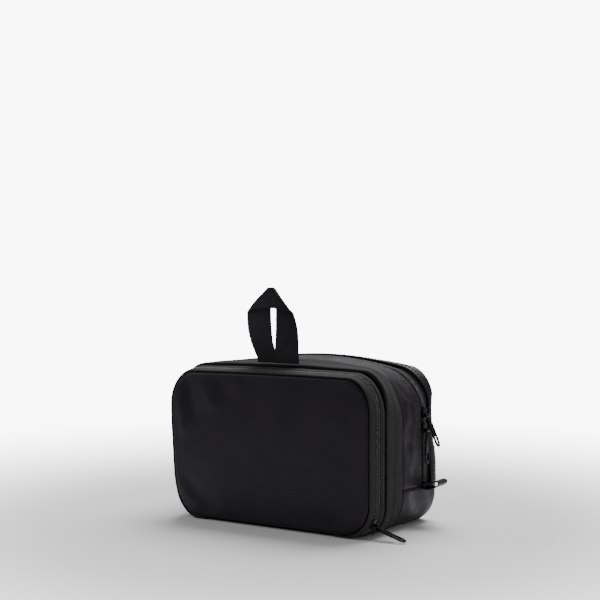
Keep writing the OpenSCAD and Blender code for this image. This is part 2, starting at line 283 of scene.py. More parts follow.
def grid(columns, rows):
    """A flat grid with the share of the way across and along of each vertex."""
    bm = bmesh.new()
    bmesh.ops.create_grid(bm, x_segments=columns, y_segments=rows, size=1)
    reach_x = max(v.co.x for v in bm.verts)
    reach_y = max(v.co.y for v in bm.verts)
    spots = {v: ((v.co.x / reach_x + 1) / 2, (v.co.y / reach_y + 1) / 2) for v in bm.verts}
    return bm, spots


def lay_out(bm, spots, place, measure, outward):
    """Moves each vertex of a grid to its place, and lays the cloth's own measure on it
    as a UV map in metres. outward says which way a face should look at its middle."""
    uv = bm.loops.layers.uv.new("cloth")
    for vert, (w, h) in spots.items():
        vert.co = place(w, h)
        u, v = measure(w, h)
        for loop in vert.link_loops:
            loop[uv].uv = (u * MM, v * MM)
    bm.normal_update()
    bm.faces.ensure_lookup_table()
    face = bm.faces[len(bm.faces) // 3]
    if face.normal.dot(outward(face.calc_center_median())) < 0:
        bmesh.ops.reverse_faces(bm, faces=bm.faces)
    bmesh.ops.remove_doubles(bm, verts=bm.verts, dist=1e-4)


def away_from_middle(point):
    """Outward from the bag's long axis."""
    return Vector((point.x, 0, point.z - MIDDLE_LEVEL))


def profile_at(profile, share):
    """(station, lift) part of the way along a profile."""
    lengths = [0.0]
    for (s0, l0), (s1, l1) in zip(profile, profile[1:]):
        lengths.append(lengths[-1] + math.hypot(s1 - s0, l1 - l0))
    goal = share * lengths[-1]
    for i, far in enumerate(lengths[1:]):
        if goal <= far + 1e-9:
            w = (goal - lengths[i]) / max(1e-9, far - lengths[i])
            (s0, l0), (s1, l1) = profile[i], profile[i + 1]
            return s0 + (s1 - s0) * w, l0 + (l1 - l0) * w
    return profile[-1]


def girth_table(station):
    """The cloth's length along the outline, up to each of many turns."""
    steps = 480
    points = [skin_point(i / steps, station) for i in range(steps + 1)]
    points[-1] = points[0].copy()
    out = [0.0]
    for a, b in zip(points, points[1:]):
        out.append(out[-1] + (b - a).length)
    return out


GIRTH = girth_table(40)


def girth_at(turn):
    """The cloth's length from the middle of the base to a turn, in mm."""
    steps = len(GIRTH) - 1
    at = turn * steps
    i = math.floor(at)
    whole, i0 = divmod(i, steps)
    return whole * GIRTH[-1] + GIRTH[i0] + (GIRTH[i0 + 1] - GIRTH[i0]) * (at - i)


def strip(name, profile, around, columns, rows, wall, material, slot, shape=None, **rest):
    """A band of cloth that follows the bag's outline. profile gives its stations and
    lifts from front to back, around(station) its first and last turn."""

    def place(w, h):
        station, lift = profile_at(profile, h)
        first, last = around(station)
        turn = first + (last - first) * w
        point = skin_point(turn, station, lift)
        if shape:
            point += skin_out(turn, station) * shape(point, turn, station)
        return point

    def measure(w, h):
        station, _ = profile_at(profile, h)
        first, last = around(station)
        return girth_at(first + (last - first) * w), station

    bm, spots = grid(columns, rows)
    lay_out(bm, spots, place, measure, away_from_middle)
    piece = finish_piece(name, bm, material, slot, **rest)
    return thicken(piece, wall)


def whole_way(_station):
    """All round the bag."""
    return 0.0, 1.0


def above_seam(station):
    """Over the top, from one side seam to the other."""
    return (
        turn_at_level(station, SEAM_HEIGHT + 0.2, 1),
        turn_at_level(station, SEAM_HEIGHT + 0.2, -1),
    )


def below_seam(station):
    """Under the base, from the left side seam to the right one."""
    return (
        turn_at_level(station, SEAM_HEIGHT - 0.1, -1) - 1,
        turn_at_level(station, SEAM_HEIGHT - 0.1, 1),
    )


def panel_spot(w, h):
    """(turn, share of the way out) of a place on a panel, for a grid whose rings follow
    the panel's outline."""
    u, v = 2 * w - 1, 2 * h - 1
    out = max(abs(u), abs(v))
    if out < 1e-9:
        return 0.0, 0.0
    u, v = u / out, v / out
    low = (LOW_START + LOW_END) / 2
    high = (TOP_START + TOP_END) / 2
    if v <= -1 + 1e-9:
        share = abs(u) * low
    elif v >= 1 - 1e-9:
        share = 1 - abs(u) * (1 - high)
    else:
        share = low + (v + 1) / 2 * (high - low)
    turn = share / 2
    return (turn if u >= 0 else 1 - turn), out


def panel_point(w, h, station, inset):
    """A place on a flat panel inside the outline at a station."""
    turn, out = panel_spot(w, h)
    edge = skin_point(turn, station, -inset)
    middle = Vector((0, edge.y, MIDDLE_LEVEL))
    return middle + (edge - middle) * out, (edge - middle).length * (1 - out)


def merge(bm, part):
    """Adds one bmesh to another."""
    mesh = bpy.data.meshes.new("part")
    part.to_mesh(mesh)
    part.free()
    bm.from_mesh(mesh)
    bpy.data.meshes.remove(mesh)


def tube(bm, points, radius, sides=8, closed=True):
    """A round bar along a line of points: a ring at each, bridged to the next."""
    rings = []
    count = len(points)
    for i, point in enumerate(points):
        before = points[i - 1] if closed or i else points[i]
        after = points[(i + 1) % count] if closed or i < count - 1 else points[i]
        turn = (after - before).to_track_quat("Z", "Y").to_matrix().to_4x4()
        made = bmesh.ops.create_circle(
            bm, cap_ends=False, radius=radius, segments=sides,
            matrix=Matrix.Translation(point) @ turn,
        )
        edges = {e for v in made["verts"] for e in v.link_edges}
        rings.append((made["verts"], list(edges)))
    pairs = list(zip(rings, rings[1:]))
    if closed:
        pairs.append((rings[-1], rings[0]))
    for (_, one), (_, two) in pairs:
        bmesh.ops.bridge_loops(bm, edges=one + two)
    if not closed:
        for _, edges in (rings[0], rings[-1]):
            bmesh.ops.contextual_create(bm, geom=edges)


def plate(bm, outline, thick, soften, level=0.0):
    """A flat plate with softened edges, from an outline of (x, y) corners."""
    first = len(bm.faces)
    verts = [bm.verts.new((x, y, level)) for x, y in outline]
    face = bm.faces.new(verts)
    made = bmesh.ops.extrude_face_region(bm, geom=[face])
    top = [v for v in made["geom"] if isinstance(v, bmesh.types.BMVert)]
    bmesh.ops.translate(bm, vec=(0, 0, thick), verts=top)
    bm.faces.ensure_lookup_table()
    faces = bm.faces[first:]
    bmesh.ops.recalc_face_normals(bm, faces=faces)
    if soften:
        edges = list({e for f in faces for e in f.edges})
        bmesh.ops.bevel(
            bm, geom=edges, offset=soften, segments=2, affect="EDGES", profile=0.5,
            material=-1, clamp_overlap=True,
        )


def rod(bm, radius, start, end, sides=14, soften=0.0):
    """A round pin between two points."""
    along = end - start
    made = bmesh.ops.create_cone(
        bm, cap_ends=True, segments=sides, radius1=radius, radius2=radius,
        depth=along.length,
        matrix=Matrix.Translation((start + end) / 2)
        @ along.to_track_quat("Z", "Y").to_matrix().to_4x4(),
    )
    if soften:
        rims = {e for v in made["verts"] for e in v.link_edges if len(e.link_faces) == 2
                and e.calc_face_angle(0) > 1.0}
        bmesh.ops.bevel(
            bm, geom=list(rims), offset=soften, segments=2, affect="EDGES", profile=0.5,
            material=-1, clamp_overlap=True,
        )


def bar_mesh(name, along, across, high, soften):
    """A small bar with softened edges, to be repeated many times."""
    bm = bmesh.new()
    bmesh.ops.create_cube(bm, size=1)
    bmesh.ops.scale(bm, vec=(along, across, high), verts=bm.verts)
    bmesh.ops.bevel(
        bm, geom=list(bm.edges), offset=soften, segments=1, affect="EDGES", profile=0.5,
        material=-1, clamp_overlap=True,
    )
    mesh = bpy.data.meshes.new(name)
    bm.to_mesh(mesh)
    bm.free()
    return mesh


def row_of(name, small, spots, material, slot, **rest):
    """One piece made of a small shape set down at every spot."""
    bm = bmesh.new()
    for spot in spots:
        first = len(bm.verts)
        bm.from_mesh(small)
        bm.verts.ensure_lookup_table()
        bmesh.ops.transform(bm, matrix=spot, verts=bm.verts[first:])
    bpy.data.meshes.remove(small)
    return finish_piece(name, bm, material, slot, **rest)


def spots_along(first, last, station, lift, pitch, start=0.0):
    """Places at an even pitch along the outline, each with its own axes: X along the
    outline, Y across it towards the back, Z away from the bag."""
    steps = 900
    spots, gone, goal = [], 0.0, start * pitch
    before = skin_point(first, station, lift)
    for i in range(1, steps + 1):
        turn = first + (last - first) * i / steps
        point = skin_point(turn, station, lift)
        step = (point - before).length
        while step > 0 and gone + step >= goal:
            at = before + (point - before) * ((goal - gone) / step)
            out = skin_out(turn, station)
            axes = Matrix((Vector((0, 1, 0)).cross(out), (0, 1, 0), out)).transposed()
            spots.append(Matrix.Translation(at) @ axes.to_4x4())
            goal += pitch
        gone += step
        before = point
    return spots


# ---- finishes ----


def linear(hex_colour):
    """An sRGB hex colour as the linear colour that shaders take."""
    parts = [int(hex_colour[i : i + 2], 16) / 255 for i in (1, 3, 5)]
    return [c / 12.92 if c <= 0.04045 else ((c + 0.055) / 1.055) ** 2.4 for c in parts] + [1.0]


def add_node(tree, kind, links=(), **settings):
    """Adds a node. settings that name an input set its value, others the node itself;
    links are (input, output socket) pairs."""
    node = tree.nodes.new(kind)
    for key, value in settings.items():
        name = key.replace("_", " ")
        socket = next((s for s in node.inputs if s.name == name and s.enabled), None)
        if socket is not None:
            socket.default_value = value
        else:
            setattr(node, key, value)
    for name, output in links:
        tree.links.new(node.inputs[name], output)
    return node


def new_finish(name, colour, roughness, **more):
    """A material with its shader: the colour and gloss that are the same all over."""
    material = bpy.data.materials.new(name)
    material.use_nodes = True
    tree = material.node_tree
    shader = tree.nodes["Principled BSDF"]
    shader.inputs["Base Color"].default_value = linear(colour)
    shader.inputs["Roughness"].default_value = roughness
    for key, value in more.items():
        shader.inputs[key.replace("_", " ")].default_value = value
    return material, tree, shader


def cloth_place(tree, turn=0.0):
    """The cloth's own measure in metres, turned by an angle."""
    uv = add_node(tree, "ShaderNodeUVMap", uv_map="cloth")
    return add_node(
        tree, "ShaderNodeMapping", [("Vector", uv.outputs["UV"])],
        Rotation=(0, 0, math.radians(turn)),
    ).outputs["Vector"]


def vary(tree, shader, factor, low, high):
    """Lets the base colour wander between two colours."""
    mix = add_node(tree, "ShaderNodeMix", [("Factor", factor)], data_type="RGBA")
    for socket in mix.inputs:
        if socket.type == "RGBA" and socket.name == "A":
            socket.default_value = linear(low)
        if socket.type == "RGBA" and socket.name == "B":
            socket.default_value = linear(high)
    colour = next(s for s in mix.outputs if s.type == "RGBA")
    tree.links.new(shader.inputs["Base Color"], colour)
    return colour


def relief(tree, shader, height, strength, distance):
    """Raises the surface by a pattern, with a depth in mm."""
    bump = add_node(
        tree, "ShaderNodeBump", [("Height", height)], Strength=strength,
        Distance=distance * MM,
    )
    tree.links.new(shader.inputs["Normal"], bump.outputs["Normal"])


def ramp(tree, source, low, high):
    """A value spread from 0 to 1 between two limits."""
    return add_node(
        tree, "ShaderNodeMapRange", [("Value", source)], From_Min=low, From_Max=high,
    ).outputs["Result"]


def wave(tree, place, period, kind="BANDS", direction="X", distortion=0.0):
    """Even ribs with a period in mm."""
    return add_node(
        tree, "ShaderNodeTexWave", [("Vector", place)], wave_type=kind,
        bands_direction=direction, Scale=0.314159 / (period * MM), Distortion=distortion,
        Detail=1.0,
    ).outputs["Fac"]


def speckle(tree, place, size, detail=2.0):
    """Uneven spots about size mm across."""
    return add_node(
        tree, "ShaderNodeTexNoise", [("Vector", place)], Scale=1 / (size * MM), Detail=detail,
        Roughness=0.6,
    ).outputs["Fac"]


def maths(tree, operation, *values):
    """Arithmetic on values or sockets."""
    node = tree.nodes.new("ShaderNodeMath")
    node.operation = operation
    for socket, value in zip(node.inputs, values):
        if isinstance(value, (int, float)):
            socket.default_value = value
        else:
            tree.links.new(socket, value)
    return node.outputs[0]


def nylon_twill(colours):
    """Coated polyamide twill: a fine diagonal rib, a soft satin gloss and faint rubbed
    patches, so that folds read by their sheen. The rib is drawn about three times as
    coarse as the real thread so that it shows."""
    material, tree, shader = new_finish(
        "Coated nylon twill", colours.nylon_hex, 0.5, Specular_IOR_Level=0.24,
        Sheen_Weight=0.04, Sheen_Roughness=0.4,
    )
    place = cloth_place(tree, 52)
    rib = wave(tree, place, 1.5)
    weft = wave(tree, place, 0.9, direction="Y")
    patch = speckle(tree, place, 38)
    fine = speckle(tree, place, 1.6)
    vary(tree, shader, maths(tree, "ADD", maths(tree, "MULTIPLY", rib, 0.35),
                             maths(tree, "MULTIPLY", ramp(tree, patch, 0.3, 0.7), 0.5)),
         colours.nylon_hex, colours.nylon_light_hex)
    tree.links.new(shader.inputs["Roughness"],
                   maths(tree, "ADD", maths(tree, "MULTIPLY", patch, 0.22), 0.36))
    height = maths(tree, "ADD", maths(tree, "MULTIPLY", rib, 0.6),
                   maths(tree, "ADD", maths(tree, "MULTIPLY", weft, 0.3),
                         maths(tree, "MULTIPLY", fine, 0.5)))
    relief(tree, shader, height, 0.35, 0.12)
    return material


def band_weave(colours):
    """Woven polyester trim tape: dull, coarse and slightly flecked."""
    material, tree, shader = new_finish(
        "Woven trim tape", colours.band_hex, 0.78, Specular_IOR_Level=0.18,
        Sheen_Weight=0.05, Sheen_Roughness=0.5,
    )
    place = cloth_place(tree)
    pick = wave(tree, place, 1.3)
    end = wave(tree, place, 1.7, direction="Y", distortion=0.6)
    fleck = speckle(tree, place, 1.1, 3)
    wide = speckle(tree, place, 24)
    both = maths(tree, "MULTIPLY", pick, end)
    flecks = maths(tree, "MULTIPLY", ramp(tree, fleck, 0.35, 0.68), 0.6)
    vary(tree, shader, maths(tree, "ADD", flecks,
                             maths(tree, "ADD", maths(tree, "MULTIPLY", both, 0.25),
                                   maths(tree, "MULTIPLY", wide, 0.2))),
         colours.band_dark_hex, colours.band_hex)
    relief(tree, shader, maths(tree, "ADD", both, maths(tree, "MULTIPLY", fleck, 0.9)), 0.6, 0.25)
    return material


def webbing_weave(colours):
    """Flat polyester webbing: a tight herringbone with a low satin gloss."""
    material, tree, shader = new_finish(
        "Twill webbing", colours.webbing_hex, 0.62, Specular_IOR_Level=0.22,
        Sheen_Weight=0.04, Sheen_Roughness=0.4,
    )
    one = wave(tree, cloth_place(tree, 34), 1.7)
    two = wave(tree, cloth_place(tree, 0), 0.9, direction="Y")
    patch = speckle(tree, cloth_place(tree), 12)
    vary(tree, shader, maths(tree, "ADD", maths(tree, "MULTIPLY", one, 0.55),
                             maths(tree, "MULTIPLY", patch, 0.4)),
         colours.webbing_hex, colours.webbing_light_hex)
    relief(tree, shader, maths(tree, "ADD", one, maths(tree, "MULTIPLY", two, 0.5)), 0.5, 0.2)
    return material


def zip_tape_weave(colours):
    """Woven zip tape: close ribs along its length, matt."""
    material, tree, shader = new_finish(
        "Woven zip tape", colours.tape_hex, 0.8, Specular_IOR_Level=0.18,
        Sheen_Weight=0.05, Sheen_Roughness=0.5,
    )
    place = cloth_place(tree)
    cord = wave(tree, place, 1.5, direction="Y")
    pick = wave(tree, place, 1.0)
    fleck = speckle(tree, place, 1.4, 3)
    vary(tree, shader, maths(tree, "ADD", maths(tree, "MULTIPLY", cord, 0.45),
                             maths(tree, "MULTIPLY", fleck, 0.6)),
         colours.tape_dark_hex, colours.tape_hex)
    relief(tree, shader, maths(tree, "ADD", cord, maths(tree, "MULTIPLY", pick, 0.5)), 0.6, 0.25)
    return material


def coil_plastic(colours):
    """Drawn polyester monofilament, dyed with the tape: smooth, so each turn of the
    coil carries a small highlight."""
    material, tree, shader = new_finish(
        "Polyester coil", colours.coil_hex, 0.34, Specular_IOR_Level=0.5,
    )
    place = add_node(tree, "ShaderNodeTexCoord").outputs["Object"]
    grain = speckle(tree, place, 2.5)
    vary(tree, shader, grain, colours.tape_hex, colours.coil_light_hex)
    return material


def lining_weave(name, colour, light, rough, period):
    """Thin plain-woven lining or knitted elastic: dull, with an even small weave."""
    material, tree, shader = new_finish(name, colour, rough, Specular_IOR_Level=0.3,
                                        Sheen_Weight=0.1)
    place = cloth_place(tree)
    warp = wave(tree, place, period)
    weft = wave(tree, place, period, direction="Y")
    patch = speckle(tree, place, 20)
    both = maths(tree, "MULTIPLY", warp, weft)
    vary(tree, shader, maths(tree, "ADD", maths(tree, "MULTIPLY", both, 0.5),
                             maths(tree, "MULTIPLY", patch, 0.5)), colour, light)
    relief(tree, shader, both, 0.4, 0.15)
    return material


def mesh_knit(colours):
    """Knitted polyester mesh: rows of small holes in a duller net. The holes are not cut open but painted
    near-black, as painted shade of the inside seen through them. The holes are drawn about 2.4 mm apart."""
    material, tree, shader = new_finish("Knitted mesh", colours.mesh_hex, 0.75,
                                        Specular_IOR_Level=0.3)
    holes = add_node(
        tree, "ShaderNodeTexVoronoi", [("Vector", cloth_place(tree, 45))],
        Scale=1 / (2.4 * MM), Randomness=0.0,
    ).outputs["Distance"]
    # painted shade: the holes get near-black in place of the shaded inside seen through an open knit
    vary(tree, shader, ramp(tree, holes, 0.22, 0.42), "#060607", colours.mesh_hex)
    relief(tree, shader, holes, 0.6, 0.3)
    return material


def gunmetal_plate(colours):
    """Zinc die casting with black nickel plate: dark mirror gloss, worn a little duller
    and lighter in patches."""
    material, tree, shader = new_finish("Black nickel plate", colours.metal_hex, 0.2, Metallic=1.0)
    place = add_node(tree, "ShaderNodeTexCoord").outputs["Object"]
    worn = speckle(tree, place, 3.5, 3)
    vary(tree, shader, ramp(tree, worn, 0.35, 0.75), colours.metal_hex, colours.metal_light_hex)
    tree.links.new(shader.inputs["Roughness"],
                   maths(tree, "ADD", maths(tree, "MULTIPLY", worn, 0.22), 0.12))
    return material


def board_plastic():
    """Sawn polyethylene board: matt, with a faint pressed grain."""
    material, tree, shader = new_finish("Polyethylene board", "#343436", 0.55)
    place = add_node(tree, "ShaderNodeTexCoord").outputs["Object"]
    grain = speckle(tree, place, 1.2, 3)
    vary(tree, shader, grain, "#2c2c2e", "#3c3c3f")
    relief(tree, shader, grain, 0.3, 0.1)
    return material


# ---- settings ----


def hex_setting(name, text, default):
    """A colour setting written as sRGB hex."""
    return bpy.props.StringProperty(name=name, description=text, default=default, maxlen=7)


class BagColours(bpy.types.PropertyGroup):
    """The bag's colours, as sRGB hex values"""

    nylon_hex: hex_setting("Nylon", "Colour of the outer nylon", "#141016")
    nylon_light_hex: hex_setting("Nylon, rubbed", "Colour of the nylon's lighter threads", "#221d25")
    band_hex: hex_setting("Trim band", "Lighter threads of the woven band", "#343635")
    band_dark_hex: hex_setting("Trim band, dark", "Darker threads of the woven band", "#101010")
    tape_hex: hex_setting("Zip tape", "Lighter threads of the zip tape", "#3e403f")
    tape_dark_hex: hex_setting("Zip tape, dark", "Darker threads of the zip tape", "#161616")
    coil_hex: hex_setting("Zip coil", "Colour of the zip's coil", "#353736")
    coil_light_hex: hex_setting("Zip coil, light", "Lighter turns of the coil", "#5c5e5d")
    webbing_hex: hex_setting("Webbing", "Colour of the hanging loop", "#0f0d10")
    webbing_light_hex: hex_setting("Webbing, light", "Lighter threads of the loop", "#28242a")
    lining_hex: hex_setting("Lining", "Colour of the lining", "#1d1d1f")
    mesh_hex: hex_setting("Mesh", "Colour of the mesh pockets", "#202023")
    elastic_hex: hex_setting("Elastic", "Colour of elastic and binding", "#17171a")
    metal_hex: hex_setting("Metal", "Colour of sliders and pullers", "#1e1e20")
    metal_light_hex: hex_setting("Metal, worn", "Colour of the metal where worn", "#444448")


def mm_setting(name, text, default, low, high):
    """A length setting in metres."""
    return bpy.props.FloatProperty(
        name=name, description=text, default=default * MM, min=low * MM, max=high * MM,
        unit="LENGTH", subtype="DISTANCE", precision=4,
    )


class BagSizes(bpy.types.PropertyGroup):
    """Sizes of the sewn and zipped details"""

    tooth_pitch: mm_setting("Coil pitch", "Distance from one turn of a coil to the next", 2.1, 1.2, 3)
    tooth_length: mm_setting("Coil row width", "Width of one row of the coil", 2.75, 2, 3.2)
    stitch_pitch: mm_setting("Band stitch", "Length of a stitch on the trim band", 2.3, 1.5, 4)
    topstitch_pitch: mm_setting("Topstitch", "Length of a stitch along the zip folds", 4.0, 2.5, 6)
    thread: mm_setting("Thread", "Width of the sewing thread", 1.5, 0.3, 2.0)
    webbing_width: mm_setting("Webbing width", "Width of the loop's webbing", 25, 20, 30)
    webbing_wall: mm_setting("Webbing thickness", "Thickness of the loop's webbing", 1.3, 0.8, 2)
    panel_dome: mm_setting("Panel dome", "How far the front panel stands proud", 1.6, 0, 5)


class StageSettings(bpy.types.PropertyGroup):
    """Floor and light"""

    floor_hex: hex_setting("Floor", "Colour of the floor", "#f7f7f7")
    backdrop_glow: bpy.props.FloatProperty(
        name="Backdrop glow", description="Brightness of the wall behind the bag", default=9.0,
        min=0, max=20,
    )
    fill: bpy.props.FloatProperty(
        name="Fill", description="Brightness of the even light from all round", default=0.24,
        min=0, max=5,
    )
    lens: bpy.props.FloatProperty(
        name="Lens", description="Focal length of the camera", default=69.9, min=20, max=200,
        subtype="DISTANCE_CAMERA",
    )


finishes = {}


class BAG_OT_finishes(bpy.types.Operator):
    """Makes the bag's materials"""

    bl_idname = "bag.finishes"
    bl_label = "Make finishes"

    def execute(self, context):
        colours = context.scene.bag_colours
        finishes.update(
            nylon=nylon_twill(colours),
            band=band_weave(colours),
            webbing=webbing_weave(colours),
            tape=zip_tape_weave(colours),
            coil=coil_plastic(colours),
            lining=lining_weave("Plain lining", colours.lining_hex, "#2a2a2d", 0.7, 1.1),
            binding=lining_weave("Knitted elastic", colours.elastic_hex, "#222226", 0.8, 1.6),
            mesh=mesh_knit(colours),
            metal=gunmetal_plate(colours),
            board=board_plastic(),
            # sewing thread: near-black, darker than the cloth it sews; partly the thread's own dark
            # colour, partly painted shade of the sunk stitch dimples
            thread=lining_weave("Sewing thread with painted dimple shade", "#030303", "#060606", 0.7, 0.8),
        )
        return {"FINISHED"}


# ---- pieces ----

COVER_INSET = 1.7
COVER_BACK = 5.0
COVER_ROUND = 2.8
PANEL_FOLDS = [
    ((-113, 0, 138), (-103, 0, 92), 7, 1.9),
    ((-100, 0, 147), (-88, 0, 108), 7, -1.8),
    ((-84, 0, 151), (-64, 0, 118), 7, 1.4),
    ((-62, 0, 152), (-48, 0, 128), 7, -1.1),
    ((-40, 0, 152), (-30, 0, 134), 6, 0.8),
    ((-14, 0, 152), (-8, 0, 140), 6, -0.35),
    ((14, 0, 152), (22, 0, 141), 6, 0.3),
    ((-114, 0, 34), (-84, 0, 12), 8, 1.9),
    ((-100, 0, 40), (-62, 0, 9), 9, -0.9),
    ((-58, 0, 14), (-14, 0, 4), 9, 1.1),
    ((-30, 0, 20), (26, 0, 10), 12, -0.5),
    ((62, 0, 6), (104, 0, 38), 13, -1.1),
    ((88, 0, 3), (113, 0, 32), 7, 1.0),
    ((66, 0, 150), (98, 0, 132), 14, -0.6),
]


def cover_shape(point, inside, front, folds, dome):
    """How far a padded panel stands out at a place, from its rounded edge inwards."""
    edge = min(1.0, inside / COVER_ROUND)
    rounded = math.sqrt(max(0.0, 1 - (1 - edge) ** 2))
    spread = ease(inside / 60)
    soft = ease(inside / 16)
    flat = Vector((point.x, 0, point.z))
    uneven = ruck(flat + Vector((0, 40 if front else 90, 0)), 46, 0.8) + creases(flat, folds)
    return rounded * (COVER_BACK - 0.8) + dome * spread + uneven * soft * 0.9


def padded_panel(name, station, side, folds, dome, material, slot, **rest):
    """A padded panel: an outer skin and an inner face that meet along the seam."""
    columns, rows = 92, 66
    bm = bmesh.new()
    for face in ("skin", "inner"):
        part, spots = grid(columns, rows)

        def place(w, h, face=face):
            point, inside = panel_point(w, h, station, COVER_INSET)
            if face == "skin":
                point.y += side * cover_shape(point, inside, side < 0, folds, dome)
            else:
                point.y += side * 0.2 * ease(inside / 3)
            return point

        def measure(w, h):
            point, _ = panel_point(w, h, station, COVER_INSET)
            return point.x, point.z

        way = Vector((0, side if face == "skin" else -side, 0))
        lay_out(part, spots, place, measure, lambda _p, way=way: way)
        merge(bm, part)
    bmesh.ops.remove_doubles(bm, verts=bm.verts, dist=0.01)
    return finish_piece(name, bm, material, slot, **rest)


def flat_panel(name, station, inset, low, high, bulge, columns, rows, wall, material, slot,
               way=-1, **rest):
    """A flat sheet inside the bag between two levels, cut to the outline. bulge is how
    far it stands out at its middle, towards the front if way is -1."""
    section = section_at(station)
    bottom = max(low, section.base + inset)
    top = min(high, section.top + section.crown - inset - 0.3)

    def place(w, h):
        level = bottom + (top - bottom) * h
        half = half_at_level(section, level, inset)
        across = (2 * w - 1) * half
        full = math.sin(math.pi * w) ** 0.5 * math.sin(math.pi * min(1.0, h * 0.5 + 0.08))
        uneven = ruck((across, station, level), 30, 0.5) * min(1.0, bulge)
        return Vector((across, FRONT_Y + station + way * (bulge * full + uneven), level))

    def measure(w, h):
        point = place(w, h)
        return point.x, point.z

    bm, spots = grid(columns, rows)
    lay_out(bm, spots, place, measure, lambda _p: Vector((0, way, 0)))
    piece = finish_piece(name, bm, material, slot, **rest)
    return thicken(piece, wall, 0.0)


class BAG_OT_front_cover(bpy.types.Operator):
    """Makes the padded front panel with its lining and mesh pocket"""

    bl_idname = "bag.front_cover"
    bl_label = "Front cover"

    def execute(self, context):
        sizes = context.scene.bag_sizes
        cover = padded_panel(
            "front_cover", COVER_BACK, -1, PANEL_FOLDS, sizes.panel_dome / MM,
            finishes["nylon"], "nylon", body="front_flap",
            replaces=["front_panel_skin", "front_panel_foam"],
        )
        section = section_at(6)
        lining = flat_panel(
            "front_cover_lining", 5.9, 1.6, 0, ABOVE_ALL, 0.0, 70, 48, 0.5, finishes["lining"],
            "lining", way=1, body="front_flap", replaces=["front_panel_lining"],
        )
        pocket = flat_panel(
            "flap_mesh_pocket", 6.5, 9, 9, 86, 2.2, 60, 28, 0.6, finishes["mesh"], "mesh",
            way=1, body="front_flap", replaces=["flap_mesh_pocket"],
        )
        elastic = flat_panel(
            "flap_pocket_elastic", 6.9, 9, 86, 93, 1.9, 60, 5, 1.2, finishes["binding"],
            "binding", way=1, body="front_flap", replaces=["flap_pocket_elastic"],
        )
        return {"FINISHED"}


FLAP_TAPE = [(4.9, -4.6), (3.6, -2.0), (2.4, -1.3), (1.7, -0.9), (1.7, -0.3), (2.6, 0.0),
             (5, 0.0), (8.3, -0.2), (9.2, -1.6), (11.8, -1.8)]
BODY_TAPE = [(12.2, -1.8), (14.8, -1.7), (15.3, -0.5), (16.4, 0.1), (19.2, 0.2),
             (20.4, -0.3), (21.0, -1.6), (21.2, -4.4)]
FRONT_COIL = 12.0
FRONT_COIL_LIFT = -0.95
HINGE_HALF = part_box("flap_hinge_strip")[1].x / MM


def zip_run(station):
    """From the right end of the flap's hinge over the top to the left end."""
    end = turn_on_base(station, HINGE_HALF)
    return end, 1 - end


def hinge_run(station):
    """The middle of the base, where the flap hangs on its fabric."""
    end = turn_on_base(station, HINGE_HALF + 1)
    return -end, end


def coil_row(name, station, lift, first, last, offset, sizes, **rest):
    """One row of a zip's coil, as separate turns."""
    pitch = sizes.tooth_pitch / MM
    turn = bar_mesh("turn", 0.62 * pitch, sizes.tooth_length / MM, 1.5, 0.42)
    spots = spots_along(first, last, station, lift, pitch, offset)
    return row_of(name, turn, spots, finishes["coil"], "zip_coil", **rest)


def stitch_row(name, station, lift, first, last, pitch, thread, **rest):
    """A row of stitches sunk a little into the cloth, in near-black thread: partly the thread's own
    colour, partly painted shade of the stitch dimples.
    """
    stitch = bar_mesh("stitch", pitch * 0.52, thread, thread * 0.6, thread * 0.25)
    spots = spots_along(first, last, station, lift, pitch)
    return row_of(name, stitch, spots, finishes["thread"], "binding", **rest)


class BAG_OT_front_zip(bpy.types.Operator):
    """Makes the front zip, its two tapes and coil rows, and the flap's hinge fabric"""

    bl_idname = "bag.front_zip"
    bl_label = "Front zip"

    def execute(self, context):
        sizes = context.scene.bag_sizes
        tape = strip(
            "front_zip_flap_tape", FLAP_TAPE, zip_run, 260, 20, 0.7, finishes["tape"],
            "zip_tape", replaces=["front_zip_flap_tape"],
        )
        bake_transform(tape)
        body_tape = strip(
            "front_zip_body_tape", BODY_TAPE, zip_run, 260, 16, 0.7, finishes["tape"],
            "zip_tape", body="bag_body", replaces=["front_zip_body_tape"],
        )
        first, last = zip_run(FRONT_COIL)
        across = sizes.tooth_length / MM / 2 + 0.05
        flap_row = coil_row(
            "front_zip_flap_coil", FRONT_COIL - across, FRONT_COIL_LIFT, first, last, 0.0,
            sizes, replaces=["front_zip_flap_coil"],
        )
        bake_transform(flap_row)
        coil_row(
            "front_zip_body_coil", FRONT_COIL + across, FRONT_COIL_LIFT, first, last, 0.5,
            sizes, body="bag_body", replaces=["front_zip_body_coil"],
        )
        stops = bar_mesh("stop", 3, 2 * sizes.tooth_length / MM, 2.0, 0.4)
        ends = [spots_along(turn, turn + 0.02, FRONT_COIL, FRONT_COIL_LIFT, 50)[0]
                for turn in (first - 0.004, last + 0.004)]
        row_of("front_zip_stops", stops, ends, finishes["metal"], "gunmetal", body="bag_body",
               replaces=["front_zip_stops"])
        hinge = strip(
            "flap_hinge_fabric", [(4.6, -0.6), (7, 0.1), (12, 0.0), (20, -0.4), (24, -1.2)],
            hinge_run, 90, 14, 0.9, finishes["nylon"], "nylon", replaces=["flap_hinge_strip"],
        )
        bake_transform(hinge)
        return {"FINISHED"}


BAND_STITCH_AT = 41
BAND = [(26.0, -3.4), (25.3, -2.0), (25.2, -0.4), (26.0, 0.15), (33, 0.2), (40.1, 0.1),
        (41, -0.15), (41.9, 0.1), (48, 0.25), (54.2, 0.15), (55.3, -0.1), (55.8, -0.9),
        (56.0, -2.8)]


def band_shape(point, turn, station):
    """Slight waviness of the band."""
    return ruck(point, 34, 0.45) * (1 - hump(station, BAND_STITCH_AT, 3))


def recess_shape(point, turn, station):
    """The front gusset sinks behind the zip at the upper corners and stands out again
    low down."""
    share = 2 * (1 - turn if turn > 0.5 else turn)
    return -2.6 * hump(share, 0.70, 0.07) + 1.6 * hump(share, 0.36, 0.06) + ruck(point, 16, 0.4)


